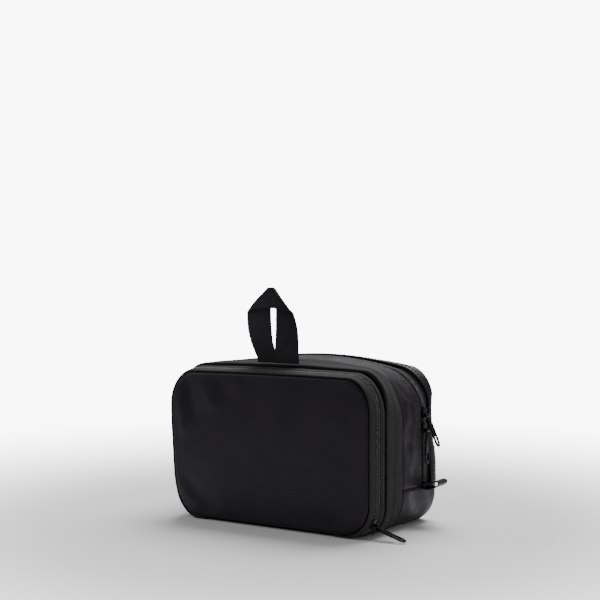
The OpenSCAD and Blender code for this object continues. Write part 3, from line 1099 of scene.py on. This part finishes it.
class BAG_OT_trim_band(bpy.types.Operator):
    """Makes the front gusset and the woven trim band with its stitching"""

    bl_idname = "bag.trim_band"
    bl_label = "Trim band"

    def execute(self, context):
        sizes = context.scene.bag_sizes
        gusset = strip(
            "front_gusset", [(17, -2.0), (20, -3.4), (22, -4.6), (24, -4.4), (27.5, -3.0)],
            whole_way, 280, 12, 0.9, finishes["nylon"], "nylon", shape=recess_shape,
            body="bag_body", replaces=["front_gusset"],
        )
        band = strip(
            "trim_band", BAND, whole_way, 300, 40, 1.2, finishes["band"], "trim_band",
            shape=band_shape, body="bag_body", replaces=["trim_band"],
        )
        stitch_row(
            "trim_band_stitching", BAND_STITCH_AT, 0.05, 0.0, 0.999, sizes.stitch_pitch / MM,
            sizes.thread / MM, body="bag_body",
        )
        return {"FINISHED"}


GUSSET_STITCH_AT = 86.3
SIDE_STITCH_BELOW = 2.6  # the side seam's stitches lie this far below the seam
GUSSET_PROFILE = [
    (55.6, -3.2), (56.3, -2.6), (57.0, -0.9), (58.2, -0.2), (60, 0.05), (66, 0.1), (74, 0.1),
    (82, 0.1), (88, 0.15), (90.4, 0.1), (91.2, -0.5), (91.3, -1.6), (90, -2.8), (87, -3.0),
]
BASE_PROFILE = [
    (55.6, -3.2), (56.3, -2.6), (57.0, -0.9), (58.2, -0.2), (60, 0), (80, 0), (100, 0),
    (114, 0), (121.6, 0), (123.4, -0.8), (124.2, -2.2),
]
GUSSET_FOLDS = [
    ((119, 10, 140), (122, -4, 100), 5, 0.8),
    ((112, 2, 140), (121, 12, 112), 4, -0.8),
    ((121, -2, 130), (122, 14, 118), 3.5, 0.9),
    ((121, 4, 118), (122, 18, 92), 4, -0.7),
    ((122, 14, 100), (122, 6, 62), 5, 0.7),
    ((122, 0, 84), (122, 12, 50), 4, -0.5),
    ((122, 20, 75), (122, 22, 48), 4, 0.5),
    ((40, 4, 162), (90, 16, 152), 6, -0.7),
    ((64, 14, 160), (104, 20, 145), 5, 0.8),
    ((-30, 6, 163), (24, 20, 163), 7, 0.6),
    ((-86, 0, 152), (-108, 18, 138), 6, 0.9),
    ((-118, 4, 128), (-121, 18, 96), 5, -0.8),
    ((-121, 12, 92), (-122, 2, 58), 5, 0.7),
]
BASE_FOLDS = [
    ((121, 0, 34), (110, 18, 6), 6, 0.9),
    ((122, 14, 34), (116, 34, 12), 6, -0.9),
    ((122, 30, 36), (119, 46, 14), 6, 0.8),
    ((-121, 0, 34), (-112, 20, 6), 6, 0.9),
    ((-122, 18, 36), (-116, 40, 12), 7, -0.8),
]


def gusset_shape(point, turn, station):
    """Soft folds of the main gusset, held down along its two sewn edges."""
    free = ease((station - 56) / 6) * ease((87.5 - station) / 8)
    stitch = -0.3 * hump(station, GUSSET_STITCH_AT, 1.0)
    pucker = 0.22 * hump(station, 88.6, 2) * math.sin(girth_at(turn) * 2 * math.pi / 8.3)
    sew = -0.5 * hump(point.z, SEAM_HEIGHT, 1.4)
    return free * (ruck(point, 22, 0.8) + creases(point, GUSSET_FOLDS)) + stitch + pucker + sew


def base_shape(point, turn, station):
    """Soft folds of the base, flat where it stands on the floor."""
    off_floor = ease((point.z - 1.2) / 14)
    edges = ease((station - 56) / 6)
    sew = -0.6 * hump(point.z, SEAM_HEIGHT, 1.4)
    return off_floor * edges * (ruck(point, 24, 0.9) + creases(point, BASE_FOLDS)) + sew


def lining_run(name, rows, stations, lift, replaces):
    """A lining sewn in behind the shell."""
    profile = [(station, lift) for station in stations]
    piece = strip(name, profile, whole_way, 160, rows, 0.5, finishes["lining"], "lining",
                  body="bag_body", replaces=replaces)
    return piece


class BAG_OT_main_body(bpy.types.Operator):
    """Makes the main gusset, the base, the linings and the wall between the compartments"""

    bl_idname = "bag.main_body"
    bl_label = "Main body"

    def execute(self, context):
        sizes = context.scene.bag_sizes
        gusset = strip(
            "main_gusset", GUSSET_PROFILE, above_seam, 300, 60, 0.9, finishes["nylon"], "nylon",
            shape=gusset_shape, body="bag_body", replaces=["main_gusset"],
        )
        stitch_row(
            "main_gusset_topstitching", GUSSET_STITCH_AT, -0.1, *above_seam(GUSSET_STITCH_AT),
            sizes.topstitch_pitch / MM, sizes.thread / MM, body="bag_body",
        )
        base = strip(
            "base_gusset", BASE_PROFILE, below_seam, 200, 60, 0.9, finishes["nylon"], "nylon",
            shape=base_shape, body="bag_body", replaces=["base_gusset"],
        )
        for side, name in ((1, "right"), (-1, "left")):
            points = []
            for i in range(12):
                station = 59 + i * 2.4
                at = turn_at_level(station, SEAM_HEIGHT - SIDE_STITCH_BELOW, side)
                out = skin_out(at, station)
                axes = Matrix(((0, 1, 0), Vector((0, 1, 0)).cross(out) * -1, out)).transposed()
                points.append(Matrix.Translation(skin_point(at, station, -0.15)) @ axes.to_4x4())
            # side seam stitches in the near-black thread, partly painted shade of the stitch dimples
            thread = sizes.thread / MM
            row_of(f"side_seam_stitching_{name}", bar_mesh("stitch", 1.5, thread * 0.6, 0.8, 0.2),
                   points, finishes["thread"], "binding", body="bag_body")
        lining_run("front_compartment_lining", 8, (27, 34, 42, 50), -2.4,
                   ["divider_lining"])
        lining_run("main_lining", 10, (55, 64, 74, 85), -2.6, ["main_lining"])
        wall = flat_panel("divider_panel", 50, 2.9, 0, ABOVE_ALL, 0.3, 70, 48, 1.0,
                          finishes["lining"], "lining", body="bag_body",
                          replaces=["divider_panel"])
        pocket = flat_panel("divider_pocket", 48.6, 14, 12, 92, 1.2, 60, 28, 0.5,
                            finishes["mesh"], "mesh", body="bag_body",
                            replaces=["divider_pocket"])
        binding = flat_panel("divider_pocket_binding", 48.2, 14, 92, 99, 1.0, 60, 5, 0.8,
                             finishes["binding"], "binding", body="bag_body",
                             replaces=["divider_pocket_binding"])
        board = frame["nodes"]["base_board"]
        board.data.materials.clear()
        board.data.materials.append(finishes["board"])
        return {"FINISHED"}


MAIN_COIL = 101.0
MAIN_COIL_LIFT = -2.1


def rear_blend(piece):
    """Bakes a rear piece's placement into its mesh."""
    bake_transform(piece)


REAR_STITCH_AT = 114.5
REAR_PROFILE = [
    (114, -3.0), (112, -2.8), (110.8, -1.6), (110.9, -0.4), (111.8, 0.1), (114, 0.15),
    (118, 0.1), (121.6, 0), (123.4, -0.8), (124.2, -2.2),
]
FRONT_TAPE = [(87.5, -3.6), (91, -3.5), (96, -3.0), (98, -2.9), (100.8, -2.9)]
REAR_TAPE = [(101.2, -2.9), (104, -2.9), (106, -3.0), (111, -3.5), (114.5, -3.6)]
REAR_FOLDS = [
    ((100, 48, 158), (118, 56, 130), 6, 0.8),
    ((119, 50, 120), (121, 56, 86), 5, -0.7),
    ((-100, 48, 158), (-118, 56, 128), 6, 0.8),
    ((-30, 50, 164), (30, 56, 163), 7, 0.5),
]


def rear_shape(point, turn, station):
    """Soft folds of the rear gusset."""
    free = ease((station - REAR_STITCH_AT) / 4) * ease((124.6 - station) / 3)
    return free * (ruck(point, 20, 0.7) + creases(point, REAR_FOLDS))


class BAG_OT_main_zip(bpy.types.Operator):
    """Makes the main zip, its tapes and coil rows, and its end stops"""

    bl_idname = "bag.main_zip"
    bl_label = "Main zip"

    def execute(self, context):
        sizes = context.scene.bag_sizes
        front = strip(
            "main_zip_front_tape", FRONT_TAPE, above_seam, 220, 14, 0.7, finishes["tape"],
            "zip_tape", body="bag_body",
            replaces=["main_zip_front_tape"],
        )
        rear = strip(
            "main_zip_rear_tape", REAR_TAPE, above_seam, 220, 14, 0.7, finishes["tape"], "zip_tape",
            replaces=["main_zip_rear_tape"],
        )
        rear_blend(rear)
        first = turn_at_level(MAIN_COIL, SEAM_HEIGHT + 1.5, 1)
        last = turn_at_level(MAIN_COIL, SEAM_HEIGHT + 1.5, -1)
        across = sizes.tooth_length / MM / 2 + 0.05
        coil_row("main_zip_front_coil", MAIN_COIL - across, MAIN_COIL_LIFT, first, last, 0.0,
                 sizes, body="bag_body", replaces=["main_zip_front_coil"])
        row = coil_row("main_zip_rear_coil", MAIN_COIL + across, MAIN_COIL_LIFT, first, last,
                       0.5, sizes, replaces=["main_zip_rear_coil"])
        rear_blend(row)
        stops = bar_mesh("stop", 2.6, 2 * sizes.tooth_length / MM, 2.2, 0.4)
        ends = [spots_along(turn, turn + 0.02, MAIN_COIL, MAIN_COIL_LIFT, 50)[0]
                for turn in (first, last)]
        row_of("main_zip_stops", stops, ends, finishes["metal"], "gunmetal", body="bag_body",
               replaces=["main_zip_stops"])
        return {"FINISHED"}


BACK_FOLDS = [
    ((-100, 0, 140), (-84, 0, 104), 10, 1.2),
    ((92, 0, 140), (78, 0, 108), 10, 1.0),
    ((-96, 0, 22), (-60, 0, 12), 10, 1.1),
    ((54, 0, 12), (98, 0, 28), 10, -0.9),
    ((-40, 0, 70), (36, 0, 62), 18, -0.9),
]


class BAG_OT_rear_shell(bpy.types.Operator):
    """Makes the rear gusset and the padded back panel with its lining"""

    bl_idname = "bag.rear_shell"
    bl_label = "Rear shell"

    def execute(self, context):
        sizes = context.scene.bag_sizes
        gusset = strip(
            "rear_gusset", REAR_PROFILE, above_seam, 260, 36, 0.9, finishes["nylon"], "nylon",
            shape=rear_shape, replaces=["rear_gusset"],
        )
        rear_blend(gusset)
        stitches = stitch_row(
            "rear_gusset_topstitching", REAR_STITCH_AT, 0.15, *above_seam(REAR_STITCH_AT),
            sizes.topstitch_pitch / MM, sizes.thread / MM,
        )
        rear_blend(stitches)
        station = BAG_DEPTH - COVER_BACK
        cover = padded_panel(
            "back_cover", station, 1, BACK_FOLDS, 1.4, finishes["nylon"], "nylon",
            replaces=["back_panel_upper", "back_panel_lower", "back_foam_upper",
                      "back_foam_lower"],
        )
        rear_blend(cover)
        lining = flat_panel(
            "back_cover_lining", station - 0.7, 1.6, 0, ABOVE_ALL, 0.0, 70, 48, 0.5,
            finishes["lining"], "lining", way=-1,
            replaces=["back_lining_upper", "back_lining_lower"],
        )
        rear_blend(lining)
        return {"FINISHED"}


class BAG_OT_end_tabs(bpy.types.Operator):
    """Makes the folded tabs at the two ends of the main zip"""

    bl_idname = "bag.end_tabs"
    bl_label = "End tabs"

    def execute(self, context):
        for side, node in ((1, "end_tab_right"), (-1, "end_tab_left")):
            low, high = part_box(node)
            reach = (high.x - low.x) / MM
            root = (low.x if side > 0 else high.x) / MM
            width = (high.y - low.y) / MM
            middle = (high.y + low.y) / 2 / MM
            level = (high.z + low.z) / 2 / MM
            bm, spots = grid(56, 26)

            def place(w, h, side=side, root=root, reach=reach, width=width, middle=middle,
                      level=level):
                # w runs from the root along the upper layer, round the fold and back
                turn = 2 * math.pi * w
                along = 0.5 - 0.5 * math.cos(turn)
                body = 1.0 + 1.9 * ease(along * 1.1 - 0.1)
                thick = body * math.sqrt(max(0.0, 1 - max(0.0, (along - 0.72) / 0.28) ** 2))
                up = 1 if w < 0.5 else -1
                x = root + side * (along * (reach + 6.0) - 2.5)
                across = (h - 0.5) * (width - 2 * ease(along) * 1.0)
                sag = 4.6 * ease((along - 0.4) / 0.6) + ruck((x, across, level), 9, 0.5) * along
                return Vector((x, middle + across, level + up * thick + sag))

            def measure(w, h, reach=reach, width=width):
                return 2 * w * reach, h * width

            lay_out(bm, spots, place, measure,
                    lambda p, level=level: Vector((0, 0, p.z - level)))
            tab = finish_piece(node, bm, finishes["nylon"], "nylon", body="bag_body",
                               replaces=[node])
            thicken(tab, 0.7)
        return {"FINISHED"}


# how far round the lower right corner the front slider stands, and how far its puller
# droops from level, in degrees
FRONT_SLIDER_TURN, FRONT_PULLER_DROOP = 26, 16.6
PULLER_LENGTH = 33.0
# a slider's own axes: X along the zip towards its nose, Z away from the bag, mm
CHANNEL = 1.35
PLATE_TOP = 2.45
PIN_AT = Vector((-2.6, 0, 4.65))


def slider_mesh():
    """Body of a zip slider: two flanged plates, the bridge, the lugs and their pin."""
    bm = bmesh.new()
    shield = [(-5.5, -3.0), (-4.6, -3.7), (1.5, -4.5), (4.4, -4.2), (5.5, -3.0), (5.5, 3.0),
              (4.4, 4.2), (1.5, 4.5), (-4.6, 3.7), (-5.5, 3.0)]
    plate(bm, shield, PLATE_TOP - CHANNEL, 0.35, CHANNEL)
    plate(bm, shield, 1.0, 0.3, -CHANNEL - 1.6)
    for side in (-1, 1):
        lip = [(-4.4, side * 3.2), (1.4, side * 4.0), (4.2, side * 3.7), (4.2, side * 4.3),
               (1.4, side * 4.6), (-4.4, side * 3.8)]
        plate(bm, lip if side < 0 else lip[::-1], 1.1, 0.2, 0.75)
        lug = [(-4.5, PLATE_TOP - 0.2), (-0.6, PLATE_TOP - 0.2), (-0.9, 5.0), (-1.8, 6.1),
               (-3.3, 6.2), (-4.2, 5.2)]
        part = bmesh.new()
        plate(part, lug, 1.1, 0.3)
        bmesh.ops.rotate(part, matrix=Matrix.Rotation(math.pi / 2, 3, "X"), verts=part.verts)
        bmesh.ops.translate(part, vec=(0, side * 2.95 + 0.55, 0), verts=part.verts)
        merge(bm, part)
    plate(bm, [(2.9, -0.6), (5.4, -0.6), (5.4, 0.6), (2.9, 0.6)], 2 * CHANNEL + 0.4, 0.1,
          -CHANNEL - 0.2)
    rod(bm, 0.8, PIN_AT + Vector((0, -3.2, 0)), PIN_AT + Vector((0, 3.2, 0)), soften=0.2)
    return bm


def puller_mesh(length, width):
    """A puller from its pin at the origin along X: a rim, a thin web and an open slot
    near its pointed tip."""
    bm = bmesh.new()
    rim = 1.1
    edge = width / 2 - rim
    slot = length - 11.0
    path = [(2.2, 1.45), (4.6, 1.7), (6.6, edge - 0.5), (8.2, edge), (length * 0.5, edge),
            (slot, edge), (length - 4.6, edge), (length - 3.2, edge - 0.5),
            (length - 1.1, 0.9)]
    around = [Vector((x, y, 0)) for x, y in path] + [
        Vector((x, -y, 0)) for x, y in reversed(path)]
    tube(bm, around, rim, 10)
    plate(bm, [(1.2, -1.7), (4.6, -1.9), (7.5, -edge), (slot, -edge), (slot, edge),
               (7.5, edge), (4.6, 1.9), (1.2, 1.7)], 0.9, 0.2, -0.45)
    rod(bm, 1.45, Vector((0, -2.3, 0)), Vector((0, 2.3, 0)), 18, 0.3)
    return bm


def axes_at(origin, along, out):
    """A place with X along one direction and Z along another."""
    side = out.cross(along)
    return Matrix.Translation(origin) @ Matrix((along, side, out)).transposed().to_4x4()


def pull_axes(pin, along, out, swing):
    """The puller's place on a slider's pin, swung out from hanging along the slider."""
    w = math.radians(swing)
    reach = -along * math.cos(w) + out * math.sin(w)
    face = -along * math.sin(w) - out * math.cos(w)
    return axes_at(pin, reach, face)


class BAG_OT_sliders(bpy.types.Operator):
    """Makes the three zip sliders and their pullers"""

    bl_idname = "bag.sliders"
    bl_label = "Sliders and pullers"

    def execute(self, context):
        up, right = Vector((0, 0, 1)), Vector((1, 0, 0))
        turn = math.radians(FRONT_SLIDER_TURN)
        tilted = Vector((math.sin(turn), 0, math.cos(turn)))
        outward = Vector((math.cos(turn), 0, -math.sin(turn)))
        table = [
            ("upper", "upper_puller_swing", up, right, 23.0),
            ("lower", "lower_puller_swing", up, right, 0.0),
            ("front", "front_puller_swing", tilted, outward,
             90 + FRONT_SLIDER_TURN - FRONT_PULLER_DROOP),
        ]
        for name, joint, along, out, swing in table:
            pin = Vector(JOINTS[joint]["pos_m"]) / MM
            origin = pin - along * PIN_AT.x - out * PIN_AT.z
            bm = slider_mesh()
            bmesh.ops.transform(bm, matrix=axes_at(origin, along, out), verts=bm.verts)
            finish_piece(f"slider_{name}", bm, finishes["metal"], "gunmetal",
                         body=f"{name}_slider", replaces=[f"slider_{name}"])
            low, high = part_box(f"puller_{name}")
            bm = puller_mesh(PULLER_LENGTH, (high.y - low.y) / MM)
            bmesh.ops.transform(bm, matrix=pull_axes(pin, along, out, swing), verts=bm.verts)
            finish_piece(f"puller_{name}", bm, finishes["metal"], "gunmetal",
                         body=f"{name}_puller", replaces=[f"puller_{name}"])
        return {"FINISHED"}


# ---- hanging loop ----
# The loop is one length of webbing, folded twice at 45 degrees. Its flat shape is warped
# to the way it hangs: for each level, the x of the left leg's outer and inner edge and of
# the right leg's inner and outer edge.
LOOP_EDGES = [
    (157.0, -24.6, -1.0, -6.4, 21.4),
    (164.0, -25.6, -1.0, -6.6, 21.0),
    (170.0, -29.2, -3.4, -6.8, 20.2),
    (176.0, -32.4, -5.4, -7.0, 19.4),
    (181.0, -34.8, -6.9, -6.8, 18.8),
    (188.0, -37.2, -7.8, -6.4, 18.0),
    (194.0, -38.8, -8.3, -6.1, 17.0),
    (202.0, -39.8, -8.8, -5.9, 15.0),
    (209.0, -39.9, -9.2, -5.8, 12.8),
    (215.0, -38.8, -9.6, -5.8, 11.8),
    (225.0, -37.8, -10.2, -6.2, 11.6),
    (240.0, -37.4, -11.0, -6.6, 11.6),
]
LOOP_FOOT = 165.5
LOOP_SLIT = 5.0
FOLD_ROUND = 1.5


def loop_edges(level):
    """The four edges of the legs at a level."""
    if level <= LOOP_EDGES[0][0]:
        return LOOP_EDGES[0][1:]
    for one, two in zip(LOOP_EDGES, LOOP_EDGES[1:]):
        if level <= two[0]:
            w = ease((level - one[0]) / (two[0] - one[0])) * 0.3 + 0.7 * (
                (level - one[0]) / (two[0] - one[0]))
            return [a + (b - a) * w for a, b in zip(one[1:], two[1:])]
    return LOOP_EDGES[-1][1:]


class BAG_OT_hanging_loop(bpy.types.Operator):
    """Makes the folded webbing loop sewn into the top seam"""

    bl_idname = "bag.hanging_loop"
    bl_label = "Hanging loop"

    def execute(self, context):
        sizes = context.scene.bag_sizes
        width = sizes.webbing_width / MM
        half = width + LOOP_SLIT / 2
        legs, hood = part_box("hang_loop_legs"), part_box("hang_loop_hood")
        plane = (legs[0].y + legs[1].y) / 2 / MM
        shoulder = hood[1].z / MM + 2.8 - LOOP_FOOT - half
        tail = 7.0
        bend = math.pi * FOLD_ROUND / 2
        root2 = math.sqrt(2)
        long = shoulder + half + bend / root2

        def fold(run, w):
            """(x, z, towards the front) of the flat folded webbing's left half."""
            past = (run - shoulder - w) / root2
            line = (run - shoulder + w) / root2
            if past < -bend:
                out, front = past + bend, 0.0
            elif past > bend:
                out, front = bend - past, 2 * FOLD_ROUND
            else:
                angle = past / FOLD_ROUND + math.pi / 2
                out = FOLD_ROUND * math.sin(angle)
                front = FOLD_ROUND * (1 - math.cos(angle))
            return -half + (line - out) / root2, (line + out) / root2 + shoulder, front

        def place(a, b):
            run = -tail + a * 2 * (long + tail)
            mirrored = run > long
            if mirrored:
                run = 2 * long - run
            x, z, front = fold(run, b * width)
            if mirrored:
                x = -x
            level = LOOP_FOOT + z
            outer_left, inner_left, inner_right, outer_right = loop_edges(level)
            slit = LOOP_SLIT / 2
            if x < -slit:
                across = outer_left + (inner_left - outer_left) * (x + half) / (half - slit)
            elif x > slit:
                across = inner_right + (outer_right - inner_right) * (x - slit) / (half - slit)
            else:
                across = inner_left + (inner_right - inner_left) * (x + slit) / (2 * slit)
            in_hood = front / (2 * FOLD_ROUND)
            level += (in_hood * 4.2 * (1 - min(1.0, abs(x) / half) ** 3)
                      * (1 - ease((z - shoulder) / 26)))
            rise = max(0.0, z) / 70
            curl = 3.2 * math.sin(math.pi * min(1.0, rise)) * (abs(x) / half) ** 2
            overlap = 0.8 * (1 - ease(z / 18)) * (1 if x < 0 else -1)
            bow = -2.2 * in_hood * (1 - min(1.0, abs(x) / half) ** 2)
            scallop = 0.22 * math.sin(run * 2 * math.pi / 2.6) * hump(b, 1, 0.04)
            uneven = ruck((x, 5, z), 18, 0.4)
            return Vector((across + scallop, plane - front + curl + overlap + bow + uneven, level))

        def measure(a, b):
            return a * 2 * (long + tail), b * width

        bm, spots = grid(190, 30)
        lay_out(bm, spots, place, measure, lambda _p: Vector((0, 0, 0)))
        loop = finish_piece(
            "hanging_loop", bm, finishes["webbing"], "webbing",
            replaces=["hang_loop_legs", "hang_loop_hood", "hang_loop_anchor"],
        )
        thicken(loop, sizes.webbing_wall / MM, 0.0)
        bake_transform(loop)
        return {"FINISHED"}


# ---- stage ----


def soft_light(name, place, target, size, power, tint=(1, 1, 1)):
    """A square softbox that looks at a point."""
    data = bpy.data.lights.new(name, "AREA")
    data.shape = "RECTANGLE"
    data.size, data.size_y = size
    data.energy = power
    data.color = tint
    light = bpy.data.objects.new(name, data)
    light.location = place
    light.rotation_euler = (Vector(target) - Vector(place)).to_track_quat("-Z", "Y").to_euler()
    bpy.context.scene.collection.objects.link(light)
    return light


class BAG_OT_stage(bpy.types.Operator):
    """Makes the floor, the backdrop, the lights and the camera"""

    bl_idname = "bag.stage"
    bl_label = "Stage"

    def execute(self, context):
        stage = context.scene.bag_stage
        floor_paint, tree, shader = new_finish("Matt white paint", stage.floor_hex, 0.9)
        place = add_node(tree, "ShaderNodeTexCoord").outputs["Object"]
        vary(tree, shader, speckle(tree, place, 400), stage.floor_hex, "#f4f4f4")
        reach = add_node(tree, "ShaderNodeVectorMath", [("Vector", place)], operation="LENGTH")
        fade = add_node(
            tree, "ShaderNodeMapRange", [("Value", reach.outputs["Value"])],
            interpolation_type="SMOOTHSTEP", From_Min=0.22, From_Max=1.0, To_Min=1, To_Max=0,
        )
        tree.links.new(shader.inputs["Alpha"], fade.outputs["Result"])
        bm = bmesh.new()
        bmesh.ops.create_circle(bm, cap_ends=True, segments=64, radius=1.1)
        mesh = bpy.data.meshes.new("floor")
        bm.to_mesh(mesh)
        bm.free()
        floor = bpy.data.objects.new("floor", mesh)
        mesh.materials.append(floor_paint)
        context.scene.collection.objects.link(floor)

        world = bpy.data.worlds.new("Studio")
        context.scene.world = world
        world.use_nodes = True
        tree = world.node_tree
        glow = tree.nodes["Background"]
        glow.inputs["Color"].default_value = (1, 1, 1, 1)
        seen = add_node(tree, "ShaderNodeLightPath").outputs["Is Camera Ray"]
        level = add_node(tree, "ShaderNodeMapRange", [("Value", seen)], To_Min=stage.fill,
                         To_Max=stage.backdrop_glow)
        tree.links.new(glow.inputs["Strength"], level.outputs["Result"])

        soft_light("key", (-1.9, -1.0, 1.4), (0, 0, 0.08), (0.8, 1.2), 14)
        soft_light("top", (-0.1, 0.9, 1.9), (0, 0, 0.1), (1.8, 1.2), 56)
        soft_light("side", (2.0, 0.5, 1.0), (0, 0, 0.08), (0.6, 1.2), 3)

        data = bpy.data.cameras.new("camera")
        data.lens = stage.lens
        data.sensor_width = 36
        camera = bpy.data.objects.new("camera", data)
        camera.location = (0.64243, -1.00220, 0.23895)
        camera.rotation_euler = [math.radians(w) for w in (89.205, 0, 32.738)]
        context.scene.collection.objects.link(camera)
        context.scene.camera = camera
        return {"FINISHED"}


class BAG_PT_panel(bpy.types.Panel):
    """Settings and steps of the toiletry bag"""

    bl_idname = "BAG_PT_panel"
    bl_label = "Toiletry Bag"
    bl_space_type = "VIEW_3D"
    bl_region_type = "UI"
    bl_category = "Toiletry Bag"

    def draw(self, context):
        for group in (context.scene.bag_sizes, context.scene.bag_colours, context.scene.bag_stage):
            box = self.layout.box()
            for name in group.__annotations__:
                box.prop(group, name)
        for step in STEPS:
            self.layout.operator(step.bl_idname)


STEPS = [
    BAG_OT_finishes,
    BAG_OT_stage,
    BAG_OT_front_cover,
    BAG_OT_front_zip,
    BAG_OT_trim_band,
    BAG_OT_main_body,
    BAG_OT_main_zip,
    BAG_OT_rear_shell,
    BAG_OT_end_tabs,
    BAG_OT_sliders,
    BAG_OT_hanging_loop,
]
GROUPS = {"bag_colours": BagColours, "bag_sizes": BagSizes, "bag_stage": StageSettings}


def register():
    for name, group in GROUPS.items():
        bpy.utils.register_class(group)
        setattr(bpy.types.Scene, name, bpy.props.PointerProperty(type=group))
    for cls in [*STEPS, BAG_PT_panel]:
        bpy.utils.register_class(cls)


def unregister():
    for cls in [BAG_PT_panel, *reversed(STEPS)]:
        bpy.utils.unregister_class(cls)
    for name, group in GROUPS.items():
        delattr(bpy.types.Scene, name)
        bpy.utils.unregister_class(group)


def main():
    register()
    for step in STEPS:
        group, name = step.bl_idname.split(".")
        getattr(getattr(bpy.ops, group), name)()


if __name__ == "__main__":
    main()
